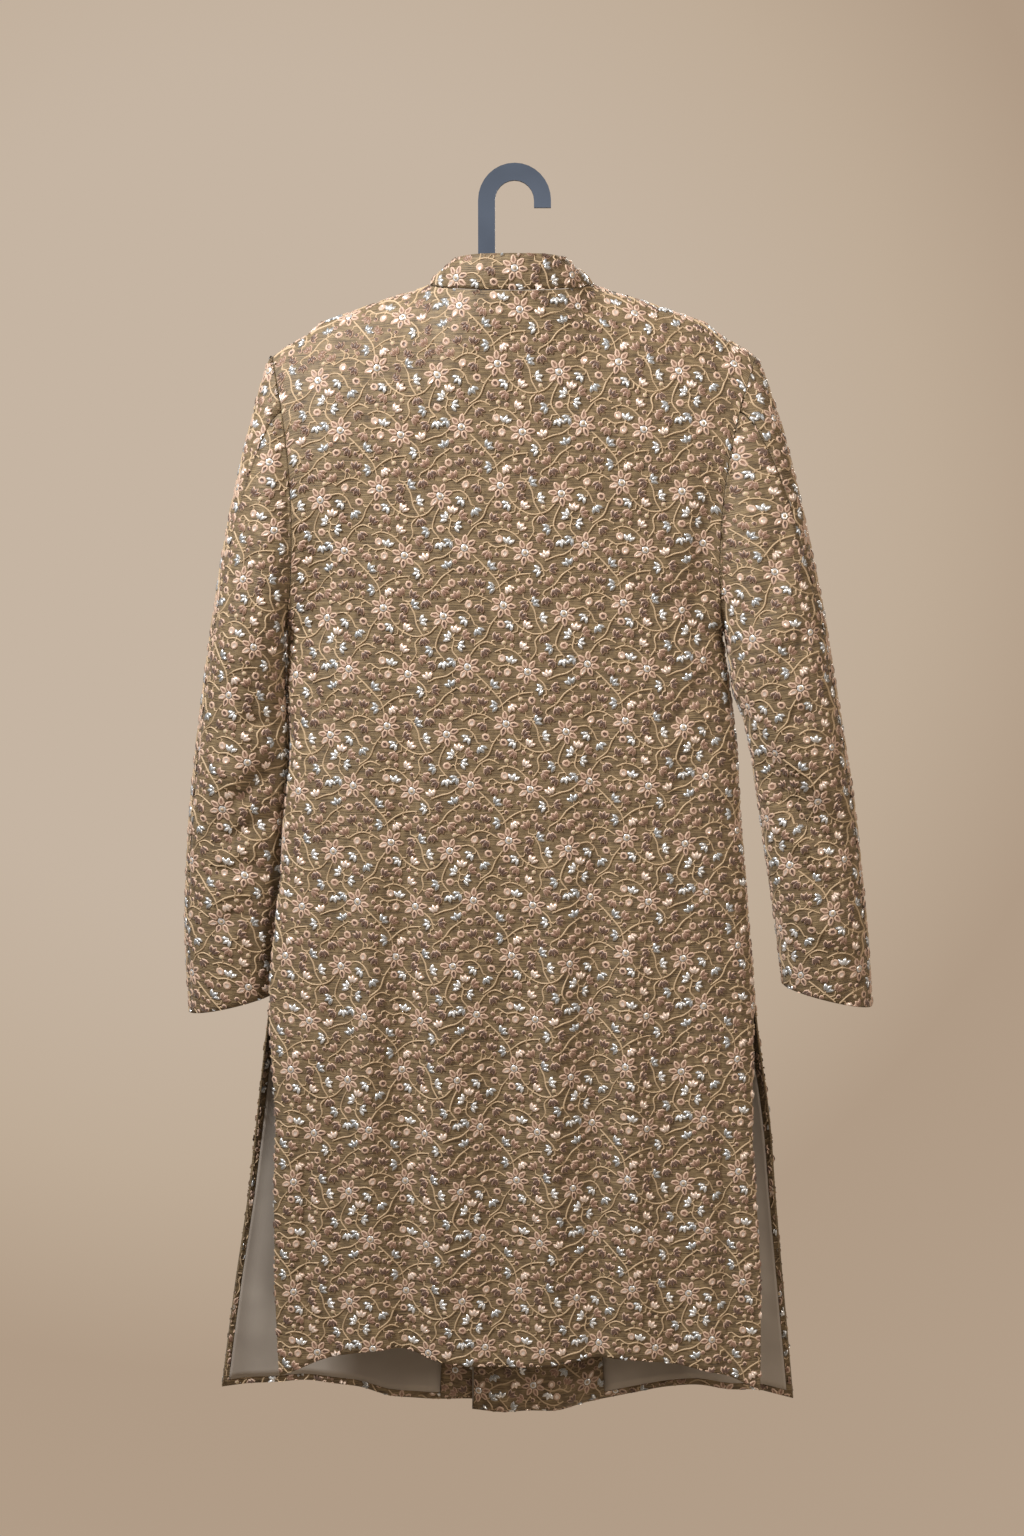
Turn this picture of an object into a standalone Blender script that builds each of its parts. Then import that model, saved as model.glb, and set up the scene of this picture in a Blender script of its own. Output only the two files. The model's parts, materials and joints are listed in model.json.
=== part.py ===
"""Sherwani coat hanging on a moulded hanger.

Lengths in the tables are millimetres, turned into metres when a mesh is made.
The wearer's left is +X, the coat's front faces -Y, and the origin is the seat inside the hanger's
hook. Every panel of cloth is a surface worked out from its sizes: a slab one wall thick is laid on it.
"""

import math

import bmesh
import bpy
import numpy as np

MM = 0.001

# Cloth walls, and the gap left between pieces at their seams.
CLOTH = 2.0
FACING = 1.5
LINING = 1.0
COLLAR_WALL = 2.6
GAP = 0.4
LINING_GAP = 0.8

# Shoulders and armholes. An armhole is an upright oval from the shoulder point to the underarm.
SHOULDER_Z = -166.0
UNDERARM_Z = -432.0
ARMHOLE_DEPTH = 32.0
ARMHOLE_SOFT_Z = -270.0  # from here down the cloth beside the armhole sinks evenly to the side seam
ARMHOLE_SOFT_REACH = 230.0
ARMHOLE_SHARE = 0.32  # share of a panel's length parameter that lies beside the armhole
HEM_LEVEL = -1180.0

# The neck is an oval, a little left of the middle, high at the sides and low in front.
NECK_X = 3.0
NECK_HALF_WIDTH = 78.0
NECK_BACK_Y = 46.0
NECK_FRONT_Y = -49.5
NECK_SIDE_Z = -98.0
NECK_BACK_DROP = 10.0
NECK_FRONT_DROP = 74.0
COLLAR_BELLY = 2.0
COLLAR_OPENING = 0.004  # share of the collar's turn left open on each side of the front

# The fronts run past the middle, the wearer's left over the right.
LEFT_EDGE_X = -30.0
RIGHT_EDGE_X = 44.0
UNDERLAP = 5.6  # how far the right front lies inside the left one
UNDERLAP_REACH = (-34.0, -73.0)

# Turned-in cloth that shows round the lining, and each facing's share of its front's width.
TURNING = 6.5
LEFT_FACING_SHARE = 0.322
RIGHT_FACING_SHARE = 0.413
SKIRT_WIDTH = 336.0
FACING_EDGE = 2.0  # how far a facing stops short of its front's edge and hem

# How finely the cloth is divided.
ARMHOLE_ROWS = 10
SKIRT_ROWS = 12
SLEEVE_ROWS = 14
SLEEVE_SEAM_SHARE = 0.0015  # share of a sleeve piece's width kept free on each side of a seam
NECK_COLUMNS = 5
LINING_TOP_ROW = ARMHOLE_ROWS + 6

BUTTON_COUNT = 7
BUTTON_TOP_Z = -196.0
BUTTON_PITCH = 76.0
BUTTON_RADIUS = 8.5
BUTTON_HEIGHT = 5.0
BUTTON_RIM = 1.8  # height of the button's edge, where its dome starts
BUTTON_FOOT_INSET = 1.5

HOOK_INNER = 18.7
HOOK_OUTER = 35.0
HOOK_THICKNESS = 5.0
HOOK_TIP_DROP = 7.0
HOOK_FOOT_Z = -118.0
ARM_RADIUS = 5.0
ARM_END_X = 210.0
ARM_CLEAR = 3.4
ARM_DIP = 8.0


def table(names, *rows):
    """A table as a dictionary of columns. The first column is the one it is read by."""
    return {name: [row[i] for row in rows] for i, name in enumerate(names.split())}


# Armhole ovals by side: the shoulder point, the underarm point, and how far the seam bows in between.
ARMHOLES = {
    "left": {"shoulder_x": 234.0, "underarm_x": 223.0, "bow": 13.0},
    "right": {"shoulder_x": 233.0, "underarm_x": 204.0, "bow": 17.0},
}

# Height of the shoulder seam by its share of the way from the neck point to the shoulder point.
SHOULDER = table(
    "share z",
    (0.0, -98), (0.12, -105.5), (0.27, -112), (0.44, -121), (0.57, -128),
    (0.69, -135), (0.78, -146), (0.87, -154), (0.94, -160), (1.0, -166),
)

# Side edges of the back and the fronts below the underarm.
# The x columns are distances from the middle, and the y columns say where each edge lies in depth.
SIDES = table(
    "z back_left back_right front_left front_right back_y front_y",
    (-432, 223, 204, 223, 204, 0, 0),
    (-480, 224, 211, 224, 211, 0, 0),
    (-540, 221, 219, 221, 219, 0, 0),
    (-618, 229, 225, 229, 225, 0, 0),
    (-675, 233, 230, 233, 230, 0, 0),
    (-733, 240, 235, 240, 235, 0, 0),
    (-799, 246, 241, 246, 242, 0, 0),
    (-841, 245, 240, 252, 248, 7, -4),
    (-925, 240, 239, 264, 262, 18, -19),
    (-1000, 242, 244, 275, 270, 22, -28),
    (-1083, 242, 249, 290, 280, 24, -33),
    (-1180, 239, 250, 306, 292, 25, -35),
)

# Depth of the middle of the back and of the fronts, and the power that rounds their sides.
DEPTHS = table(
    "z back front side_round",
    (-166, 46, -50, 1.0),
    (-300, 45.5, -49, 1.0),
    (-380, 45, -48.5, 0.8),
    (-432, 44.6, -48.4, 0.64),
    (-540, 43.7, -48.4, 0.5),
    (-800, 42, -49, 0.5),
    (-1000, 40, -49, 0.6),
    (-1180, 38, -47, 0.8),
)
SIDE_POWER = 2.8

BACK_HEM = table(
    "x z",
    (-250, -1202), (-209, -1182), (-153, -1170), (-88, -1163), (-36, -1171), (8, -1172),
    (66, -1169), (120, -1155), (152, -1157), (194, -1168), (240, -1187),
)
LEFT_HEM = table(
    "x z",
    (-30, -1243), (50, -1242), (78, -1241), (120, -1237), (172, -1226), (224, -1218), (307, -1223),
)
RIGHT_HEM = table(
    "x z",
    (-294, -1236), (-249, -1228), (-192, -1225), (-153, -1226), (-110, -1238), (-78, -1245),
    (-38, -1252), (2, -1253), (44, -1251),
)

# Soft upright troughs. Each runs from x_top to x_bottom and deepens on its way down.
BACK_FOLDS = table(
    "x_top x_bottom z_top z_bottom width depth",
    (104, 110, -240, -1150, 17, 7.5),
    (-79, -81, -240, -1150, 15, 7.0),
    (168, 186, -560, -1180, 16, 3.5),
    (-150, -163, -620, -1180, 18, 3.0),
)
FRONT_FOLDS = table(
    "x_top x_bottom z_top z_bottom width depth",
    (112, 132, -330, -1200, 20, 5.5),
    (-118, -140, -360, -1200, 18, 5.0),
    (192, 232, -700, -1200, 22, 4.5),
    (-190, -222, -720, -1200, 24, 4.5),
)

# Sleeves, from the armhole to the cuff. outer and inner are the two sides of a sleeve seen from
# behind; y is the middle of its depth.
SLEEVES = {
    "left": table(
        "t outer_x outer_z inner_x inner_z y half_depth bow",
        (0.00, 234, -166, 223, -432, 0, 32, 13),
        (0.012, 237, -168.5, 226, -432.6, 0, 32, 13),
        (0.06, 244, -188, 227, -438, 0, 36, 8),
        (0.14, 258, -237, 226.8, -444, -1, 39, 4),
        (0.26, 277, -312, 226.3, -456, -4, 42, 1),
        (0.40, 296, -411, 225.6, -482, -9, 43, 0),
        (0.50, 306, -471, 222.8, -514, -14, 42, 0),
        (0.60, 315, -530, 221.8, -557, -18, 41, 0),
        (0.70, 323, -590, 226, -608, -22, 39, 0),
        (0.80, 330, -660, 230, -668, -27, 37, 0),
        (0.90, 334, -741, 236, -735, -32, 36, 0),
        (1.00, 332, -822, 243, -802, -36, 35, 0),
    ),
    "right": table(
        "t outer_x outer_z inner_x inner_z y half_depth bow",
        (0.00, 233, -166, 204, -432, 0, 32, 17),
        (0.012, 236, -168.5, 207, -432.6, 0, 32, 17),
        (0.06, 243, -187, 208.2, -439, 1, 36, 10),
        (0.14, 260, -236, 209.4, -448, 3, 39, 5),
        (0.26, 280, -312, 212, -465, 5, 42, 1),
        (0.40, 302, -411, 216, -492, 7, 43, 0),
        (0.50, 314, -477, 227, -521, 7, 42, 0),
        (0.60, 325, -536, 235, -557, 4, 41, 0),
        (0.70, 336, -594, 243, -605, -1, 39, 0),
        (0.80, 346, -662, 253, -664, -8, 37, 0),
        (0.90, 356, -740, 264, -732, -16, 36, 0),
        (1.00, 363, -813, 273, -792, -23, 35, 0),
    ),
}

# Where the two seams of a sleeve run round it, in degrees: 0 is its outer side and 90 its back.
SLEEVE_SEAMS = table(
    "t hind fore",
    (0.0, 54, -126),
    (0.3, 38, -134),
    (0.5, 28, -140),
    (1.0, 26, -148),
)

# Elbow folds: a fold starts at a corner near the body and runs outward and down. The cloth under it
# falls back by its depth, and comes out again further down.
ELBOWS = {
    "left": {"x": 232.0, "z": -560.0, "slope": -0.75, "depth": 4.0, "reach": 70.0},
    "right": {"x": 226.0, "z": -499.0, "slope": -1.12, "depth": 8.0, "reach": 90.0},
}

# The collar by its angle round the neck from the back: its top edge.
COLLAR_TOP = table(
    "angle x y z",
    (0, 0, 48, -73.5),
    (28, 27, 44, -73.5),
    (55, 49, 30, -75),
    (90, 61, 0, -84),
    (125, 53, -32, -105),
    (152, 30, -54, -127),
    (180, 0, -62, -137),
)


def read(rows, column, at):
    """A smooth curve through one column of a table, which never overshoots its points."""
    keys = np.array(next(iter(rows.values())), float)
    values = np.array(rows[column], float)
    order = np.argsort(keys)
    keys, values = keys[order], values[order]
    steps = np.diff(keys)
    slopes = np.diff(values) / steps
    tangents = np.concatenate([slopes[:1], np.zeros(len(slopes) - 1), slopes[-1:]])
    product = slopes[:-1] * slopes[1:]
    total = slopes[:-1] + slopes[1:]
    tangents[1:-1] = np.where(product > 0, 2 * product / np.where(product > 0, total, 1), 0)
    at = np.clip(at, keys[0], keys[-1])
    i = np.clip(np.searchsorted(keys, at) - 1, 0, len(steps) - 1)
    t = (at - keys[i]) / steps[i]
    rise = values[i] * (2 * t**3 - 3 * t**2 + 1) + values[i + 1] * (3 * t**2 - 2 * t**3)
    bend = tangents[i] * (t**3 - 2 * t**2 + t) + tangents[i + 1] * (t**3 - t**2)
    return rise + steps[i] * bend


def ease(t):
    """0 below 0, 1 above 1, and a soft step between."""
    t = np.clip(t, 0.0, 1.0)
    return t * t * (3 - 2 * t)


def neck(x, back):
    """Depth and height of the neck seam at x, and whether x is inside the neck."""
    share = np.clip(np.abs(x - NECK_X) / NECK_HALF_WIDTH, 0, 1)
    inwards = np.sqrt(1 - share**2)
    y = (NECK_BACK_Y if back else NECK_FRONT_Y) * inwards
    drop = NECK_BACK_DROP * inwards if back else NECK_FRONT_DROP * inwards**2.2
    return y, NECK_SIDE_Z - drop, share


def shoulder_z(x):
    """Height of the shoulder seam at x."""
    start = np.where(x > 0, NECK_HALF_WIDTH + NECK_X, NECK_HALF_WIDTH - NECK_X)
    end = np.where(x > 0, ARMHOLES["left"]["shoulder_x"], ARMHOLES["right"]["shoulder_x"])
    return read(SHOULDER, "z", (np.abs(x) - start) / (end - start))


def top_edge(x, back):
    """Height of a panel's top edge, and of the ridge where the cloth below it would close. They are
    the same on the shoulder seam; inside the neck seam the ridge rises towards the middle."""
    _, z, share = neck(x, back)
    z = np.where(share < 1, z, shoulder_z(x))
    return z, z + (SHOULDER_Z - UNDERARM_Z) / 2 * (1 - share)


def level(v):
    """The armhole angle and the height of a panel's length parameter."""
    angle = math.pi * np.clip(v / ARMHOLE_SHARE, 0, 1)
    middle = (SHOULDER_Z + UNDERARM_Z) / 2
    half = (SHOULDER_Z - UNDERARM_Z) / 2
    below = np.clip((v - ARMHOLE_SHARE) / (1 - ARMHOLE_SHARE), 0, 1)
    z = np.where(v < ARMHOLE_SHARE, middle + half * np.cos(angle), UNDERARM_Z)
    return angle, z + (HEM_LEVEL - UNDERARM_Z) * below


def side_distance(side, face, v):
    """Distance from the middle to a panel's side edge: the armhole seam, then the side seam."""
    angle, z = level(v)
    hole = ARMHOLES[side]
    middle = (hole["shoulder_x"] + hole["underarm_x"]) / 2
    half = (hole["shoulder_x"] - hole["underarm_x"]) / 2
    armhole = middle + half * np.cos(angle) - hole["bow"] * np.sin(angle) ** 2
    return np.where(v < ARMHOLE_SHARE, armhole, read(SIDES, face + "_" + side, z))


def fold_depth(folds, x, z):
    """How far the upright troughs of a table push the cloth in at a place."""
    depth = np.zeros_like(x)
    for i in range(len(folds["width"])):
        fold = {name: column[i] for name, column in folds.items()}
        along = (fold["z_top"] - z) / (fold["z_top"] - fold["z_bottom"])
        middle = fold["x_top"] + (fold["x_bottom"] - fold["x_top"]) * np.clip(along, 0, 1)
        across = (x - middle) / fold["width"]
        depth += fold["depth"] * ease(along * 1.4) * np.exp(-across * across)
    return depth


def panel_point(x, x_top, side, face, v):
    """A point of the body's outer surface at x, on the back or a front, in the column that starts
    at x_top on the panel's top edge."""
    back = face == "back"
    sign = 1.0 if back else -1.0
    angle, z_level = level(v)
    reach = side_distance(side, face, v)
    w = np.clip(np.abs(x) / reach, 0, 1)
    top_z, ridge_z = top_edge(x_top, back)
    hems = BACK_HEM if back else (LEFT_HEM if side == "left" else RIGHT_HEM)
    below = np.clip((UNDERARM_Z - z_level) / (UNDERARM_Z - HEM_LEVEL), 0, 1)
    fade = (1 - (SHOULDER_Z - z_level) / (SHOULDER_Z - HEM_LEVEL)) ** 2
    z = z_level + (top_z - SHOULDER_Z) * fade + (read(hems, "z", x) - HEM_LEVEL) * below**3
    armhole_y = ARMHOLE_DEPTH * np.where(angle < math.pi / 2, 1.0, np.sin(angle))
    beside_y = ARMHOLE_DEPTH * (1 - ease((ARMHOLE_SOFT_Z - z_level) / ARMHOLE_SOFT_REACH))
    side_y = read(SIDES, face + "_y", z_level)
    edge_y = np.where(v < ARMHOLE_SHARE, sign * armhole_y, side_y)
    edge_y = edge_y + (sign * beside_y + side_y - edge_y) * (1 - w**12)
    middle_y = read(DEPTHS, face, z_level)
    rounding = np.clip(1 - w**SIDE_POWER, 0, 1) ** read(DEPTHS, "side_round", z_level)
    full_y = edge_y + (middle_y - edge_y) * rounding
    fall = np.clip((ridge_z - z) / (SHOULDER_Z - UNDERARM_Z) * 2, 0, 1)
    y = full_y * np.sqrt(1 - (1 - fall) ** 2)
    folds = BACK_FOLDS if back else FRONT_FOLDS
    y = y - sign * fold_depth(folds, x, z) * (1 - ease((w - 0.85) / 0.15))
    return x, y, z


def stacked(x, y, z):
    return np.stack(np.broadcast_arrays(x, y, z), axis=-1)


def back_surface(u, v):
    """The back, with u from the wearer's right to the left."""
    across = np.sin(math.pi / 2 * (2 * u - 1))
    halves = []
    for side in ("left", "right"):
        x, x_top = (across * side_distance(side, "back", at) for at in (v, 0 * v))
        halves.append(stacked(*panel_point(x, x_top, side, "back", v)))
    points = np.where((across >= 0)[..., None], *halves)
    points[..., 1] += GAP / 2
    return points


def front_x(side, share, v):
    """Where a share of the way from a front's edge to its side lies across the body."""
    edge_x = LEFT_EDGE_X if side == "left" else RIGHT_EDGE_X
    side_x = side_distance(side, "front", v) * (1 if side == "left" else -1)
    return edge_x + (side_x - edge_x) * share


def front_surface(side):
    """A front, with u from its front edge to its side."""

    def surface(u, v):
        share = np.sin(math.pi / 2 * u)
        x, x_top = front_x(side, share, v), front_x(side, share, 0 * v)
        x, y, z = panel_point(x, x_top, side, "front", v)
        if side == "right":
            outer, inner = UNDERLAP_REACH
            shift = UNDERLAP * ease((x - inner) / (outer - inner))
            y = y + shift
            z = z - shift * (1 - ease(v / 0.1))
        return stacked(x, y - GAP / 2, z)

    return surface


def elbow_shift(side, x, z, back_share):
    """How far the cloth under the elbow fold falls back towards the front."""
    fold = ELBOWS[side]
    line_z = fold["z"] + fold["slope"] * (x - fold["x"])
    below = (line_z - z) / math.hypot(1, fold["slope"])
    drop = ease((below + 10) / 26) * (1 - ease(below / fold["reach"]))
    return -fold["depth"] * drop * back_share


def sleeve_surface(side, piece):
    """One of a sleeve's two pieces, with u round it from the hind-arm seam and v down to the cuff."""
    sign = 1.0 if side == "left" else -1.0
    rows = SLEEVES[side]

    def surface(u, v):
        start = read(SLEEVE_SEAMS, "hind", v)
        fore = read(SLEEVE_SEAMS, "fore", v)
        end = fore if piece == "top" else fore + 360
        angle = np.radians(start + (end - start) * u)
        outer_x, outer_z = read(rows, "outer_x", v), read(rows, "outer_z", v)
        inner_x, inner_z = read(rows, "inner_x", v), read(rows, "inner_z", v)
        c, s = np.cos(angle), np.sin(angle)
        x = (outer_x + inner_x) / 2 + (outer_x - inner_x) / 2 * c - read(rows, "bow", v) * s**2
        z = (outer_z + inner_z) / 2 + (outer_z - inner_z) / 2 * c
        y = read(rows, "y", v) + read(rows, "half_depth", v) * s
        y = y + elbow_shift(side, x, z, np.clip(s, 0, 1))
        x = x + GAP * (1 - ease(v / 0.05))
        return stacked(sign * x, y, z)

    return surface


def collar_surface(u, v):
    """The stand collar, with u round the neck from one front end to the other and v upwards."""
    angle = (u - 0.5) * 360
    turn = np.radians(np.abs(angle))
    sign = np.sign(angle)
    low_x = NECK_X + sign * NECK_HALF_WIDTH * np.sin(turn)
    in_back = neck(low_x, True)
    in_front = neck(low_x, False)
    behind = turn < math.pi / 2
    low_y = np.where(behind, in_back[0], in_front[0])
    low_z = np.where(behind, in_back[1], in_front[1]) + 2 * GAP
    degrees = np.abs(angle)
    high_x = NECK_X + sign * read(COLLAR_TOP, "x", degrees)
    high_y = read(COLLAR_TOP, "y", degrees)
    high_z = read(COLLAR_TOP, "z", degrees)
    belly = COLLAR_BELLY * np.sin(math.pi * v)
    x = low_x + (high_x - low_x) * v**1.2 + sign * belly * np.sin(turn)
    y = low_y + (high_y - low_y) * v + belly * np.cos(turn)
    return stacked(x, y, low_z + (high_z - low_z) * v)


def normals(surface, u, v, outwards):
    """Unit normals of a surface; outwards is 1 or -1, the way its u x v normal points."""
    step = 1e-4
    along_u = surface(np.minimum(u + step, 1), v) - surface(np.maximum(u - step, 0), v)
    along_v = surface(u, np.minimum(v + step, 1)) - surface(u, np.maximum(v - step, 0))
    return unit(np.cross(along_u, along_v) * outwards)


def unit(vectors):
    return vectors / np.linalg.norm(vectors, axis=-1, keepdims=True)


def material(name, colour, roughness, metallic=0.0):
    made = bpy.data.materials.new(name)
    made.use_nodes = True
    shader = made.node_tree.nodes["Principled BSDF"]
    shader.inputs["Base Color"].default_value = (*colour, 1.0)
    shader.inputs["Roughness"].default_value = roughness
    shader.inputs["Metallic"].default_value = metallic
    return made


def add(mesh, name, coating, collection, smooth=True):
    made = bpy.data.objects.new(name, mesh)
    mesh.materials.append(coating)
    if smooth:
        mesh.shade_smooth()
    collection.objects.link(made)
    return made


def cloth(name, surface, us, vs, wall, coating, collection, outwards=1, square_off=None):
    """A panel of cloth: a flat slab whose top takes the surface's points and whose underside takes
    the points one wall inside it. square_off turns the rims at chosen edges square to their seam."""
    bm = bmesh.new()
    bmesh.ops.create_grid(bm, x_segments=len(us) - 1, y_segments=len(vs) - 1, size=0.5)
    under = bmesh.ops.extrude_face_region(bm, geom=bm.faces[:], use_keep_orig=True)["geom"]
    under = [item for item in under if isinstance(item, bmesh.types.BMVert)]
    bmesh.ops.translate(bm, verts=under, vec=(0, 0, -1))
    bmesh.ops.recalc_face_normals(bm, faces=bm.faces)
    i = np.array([round((v.co.x + 0.5) * (len(us) - 1)) for v in bm.verts])
    j = np.array([round((v.co.y + 0.5) * (len(vs) - 1)) for v in bm.verts])
    depth = np.array([-v.co.z for v in bm.verts])
    u, v = np.asarray(us)[i], np.asarray(vs)[j]
    normal = normals(surface, u, v, outwards)
    if square_off:
        normal = square_off(normal, u, v)
    points = (surface(u, v) - normal * (depth * wall)[:, None]) * MM
    for vert, point in zip(bm.verts, points):
        vert.co = point
    if outwards < 0:
        bmesh.ops.reverse_faces(bm, faces=bm.faces)
    mesh = bpy.data.meshes.new(name)
    bm.to_mesh(mesh)
    bm.free()
    return add(mesh, name, coating, collection)


def without(axis, edge):
    """A square_off that takes one axis out of the normals where edge(u, v) holds."""

    def square_off(normal, u, v):
        kept = normal.copy()
        kept[edge(u, v), axis] = 0
        return unit(kept)

    return square_off


def rows_down():
    """Length parameters of a panel's rows: even steps of the armhole's angle, then even heights."""
    beside = np.linspace(0, ARMHOLE_SHARE, ARMHOLE_ROWS + 1)[:-1]
    return np.concatenate([beside, np.linspace(ARMHOLE_SHARE, 1, SKIRT_ROWS + 1)])


def neck_shares(edge_x, reach, middle, first=0):
    """Shares of a panel's width that lie at even turns of the neck seam, out to the neck point."""
    turns = math.pi / 2 / NECK_COLUMNS * np.arange(first, NECK_COLUMNS + 1)
    return (middle + NECK_HALF_WIDTH * np.sin(turns) - edge_x) / (reach - edge_x)


def side_shares(start, steps):
    """Shares from the neck point on: even steps, then closer together round the side."""
    even = np.linspace(start, 0.8, steps + 1)[1:]
    return np.concatenate([even, np.sin(np.linspace(math.asin(0.8), math.pi / 2, 4))[1:]])


def width_parameter(share):
    """The surfaces' width parameter, which slows down towards the side, for a share of the width."""
    return np.arcsin(np.clip(share, -1, 1)) / (math.pi / 2)


def front_shares(side):
    edge_x = LEFT_EDGE_X if side == "left" else -RIGHT_EDGE_X
    middle = NECK_X if side == "left" else -NECK_X
    facing = LEFT_FACING_SHARE if side == "left" else RIGHT_FACING_SHARE
    to_neck = neck_shares(edge_x, ARMHOLES[side]["shoulder_x"], middle, first=-1)
    shares = [[0.0], to_neck, side_shares(to_neck[-1], 5), [facing, 1 - TURNING / SKIRT_WIDTH]]
    return np.sort(np.concatenate(shares))


def make_back(coating, collection):
    halves = []
    for side, middle in (("right", -NECK_X), ("left", NECK_X)):
        shares = neck_shares(0.0, ARMHOLES[side]["shoulder_x"], middle)
        halves.append(np.concatenate([shares[1:], side_shares(shares[-1], 5)]))
    share = np.concatenate([-halves[0][::-1], [NECK_X / ARMHOLES["left"]["shoulder_x"]], halves[1]])
    us = (width_parameter(share) + 1) / 2
    beside_arm = without(0, lambda u, v: (np.abs(2 * u - 1) > 0.999) & (v < 0.6 * ARMHOLE_SHARE))
    cloth("back", back_surface, us, rows_down(), CLOTH, coating, collection, square_off=beside_arm)


def make_front(side, coating, collection):
    beside_arm = without(0, lambda u, v: (u > 0.999) & (v < 0.6 * ARMHOLE_SHARE))
    cloth("front_" + side, front_surface(side), width_parameter(front_shares(side)), rows_down(),
          CLOTH, coating, collection, outwards=-1 if side == "left" else 1, square_off=beside_arm)


def make_inside(side, kind, coating, collection):
    """The lining or the facing of a front's skirt, made from the front's points, moved inside its wall."""
    outer = front_surface(side)
    outwards = -1 if side == "left" else 1
    shares = front_shares(side)
    facing = LEFT_FACING_SHARE if side == "left" else RIGHT_FACING_SHARE
    start, end = FACING_EDGE / SKIRT_WIDTH, facing
    if kind == "lining":
        start, end = facing + GAP / SKIRT_WIDTH, 1 - TURNING / SKIRT_WIDTH
    shares = shares[(shares > start + 0.01) & (shares < end - 0.005)]
    us = width_parameter(np.concatenate([[start], shares, [end]]))

    def surface(u, v):
        return outer(u, v) - normals(outer, u, v, outwards) * (CLOTH + LINING_GAP)

    turning = FACING_EDGE if kind == "facing" else TURNING
    last = 1 - turning / (UNDERARM_Z - HEM_LEVEL) * (1 - ARMHOLE_SHARE)
    vs = np.concatenate([rows_down()[LINING_TOP_ROW:-1], [last]])
    wall = FACING if kind == "facing" else LINING
    cloth(kind + "_" + side, surface, us, vs, wall, coating, collection, outwards=outwards)


def make_sleeve(side, piece, coating, collection):
    us = np.linspace(SLEEVE_SEAM_SHARE, 1 - SLEEVE_SEAM_SHARE, ARMHOLE_ROWS + 1)
    vs = np.concatenate([[0, 0.012], np.linspace(0.06, 1, SLEEVE_ROWS)])
    outwards = 1 if (side == "left") == (piece == "top") else -1
    at_armhole = without(0, lambda u, v: v < 0.001)
    cloth("sleeve_" + side + "_" + piece, sleeve_surface(side, piece), us, vs, CLOTH, coating,
          collection, outwards=outwards, square_off=at_armhole)


def make_collar(coating, collection):
    level_foot = without(2, lambda u, v: v < 0.001)
    step = 0.5 / (2 * NECK_COLUMNS)
    inside = 0.5 + step * np.arange(1 - 2 * NECK_COLUMNS, 2 * NECK_COLUMNS)
    us = np.concatenate([[COLLAR_OPENING], inside, [1 - COLLAR_OPENING]])
    cloth("collar", collar_surface, us, np.linspace(0, 1, 4), COLLAR_WALL, coating, collection,
          outwards=-1, square_off=level_foot)


def make_buttons(coating, collection):
    """Domed buttons down the middle of the outer front, each a profile turned by a Screw."""
    surface = front_surface("left")
    for i in range(BUTTON_COUNT):
        z = BUTTON_TOP_Z - i * BUTTON_PITCH
        vs = np.linspace(0, 1, 400)
        share = -LEFT_EDGE_X / (side_distance("left", "front", vs) - LEFT_EDGE_X)
        line = surface(np.arcsin(share) / (math.pi / 2), vs)
        y = np.interp(-z, -line[:, 2], line[:, 1]) - GAP
        profile = [(0.0, BUTTON_HEIGHT)]
        for step in range(1, 4):
            turn = math.pi / 2 * step / 3
            dome = BUTTON_RIM + (BUTTON_HEIGHT - BUTTON_RIM) * math.cos(turn)
            profile.append((BUTTON_RADIUS * math.sin(turn), dome))
        profile += [(BUTTON_RADIUS - BUTTON_FOOT_INSET, 0.0), (0.0, 0.0)]
        bm = bmesh.new()
        verts = [bm.verts.new((r * MM, 0, h * MM)) for r, h in profile]
        for a, b in zip(verts, verts[1:]):
            bm.edges.new((a, b))
        mesh = bpy.data.meshes.new(f"button_{i + 1}")
        bm.to_mesh(mesh)
        bm.free()
        button = add(mesh, f"button_{i + 1}", coating, collection)
        button.location = (0, y * MM, z * MM)
        button.rotation_euler = (math.pi / 2, 0, 0)
        turned = button.modifiers.new("turned", "SCREW")
        turned.steps = turned.render_steps = 14
        turned.use_merge_vertices = True
        turned.merge_threshold = 0.00001


def mesh_from_curve(curve, name, collection):
    """A curve object's closed mesh, its caps welded to its sides."""
    temporary = bpy.data.objects.new(name + "_curve", curve)
    collection.objects.link(temporary)
    graph = bpy.context.evaluated_depsgraph_get()
    mesh = bpy.data.meshes.new_from_object(temporary.evaluated_get(graph))
    mesh.name = name
    bpy.data.objects.remove(temporary, do_unlink=True)
    bm = bmesh.new()
    bm.from_mesh(mesh)
    bmesh.ops.remove_doubles(bm, verts=bm.verts, dist=0.00001)
    bmesh.ops.recalc_face_normals(bm, faces=bm.faces)
    bm.to_mesh(mesh)
    bm.free()
    return mesh


def hook_outline():
    """The hook's flat outline: down the stem's two sides, round the arch and to the cut tip."""
    centre_z = -HOOK_INNER

    def arc(radius, start, end, steps):
        turns = np.radians(np.linspace(start, end, steps))
        return [(radius * math.cos(a), centre_z + radius * math.sin(a)) for a in turns]

    outline = [(HOOK_OUTER, HOOK_FOOT_Z)]
    outline += arc(HOOK_OUTER, 0, 180, 17)
    outline += [(-HOOK_OUTER, centre_z - HOOK_TIP_DROP), (-HOOK_INNER, centre_z - HOOK_TIP_DROP)]
    outline += arc(HOOK_INNER, 180, 0, 13)
    outline += [(HOOK_INNER, HOOK_FOOT_Z)]
    return outline


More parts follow.
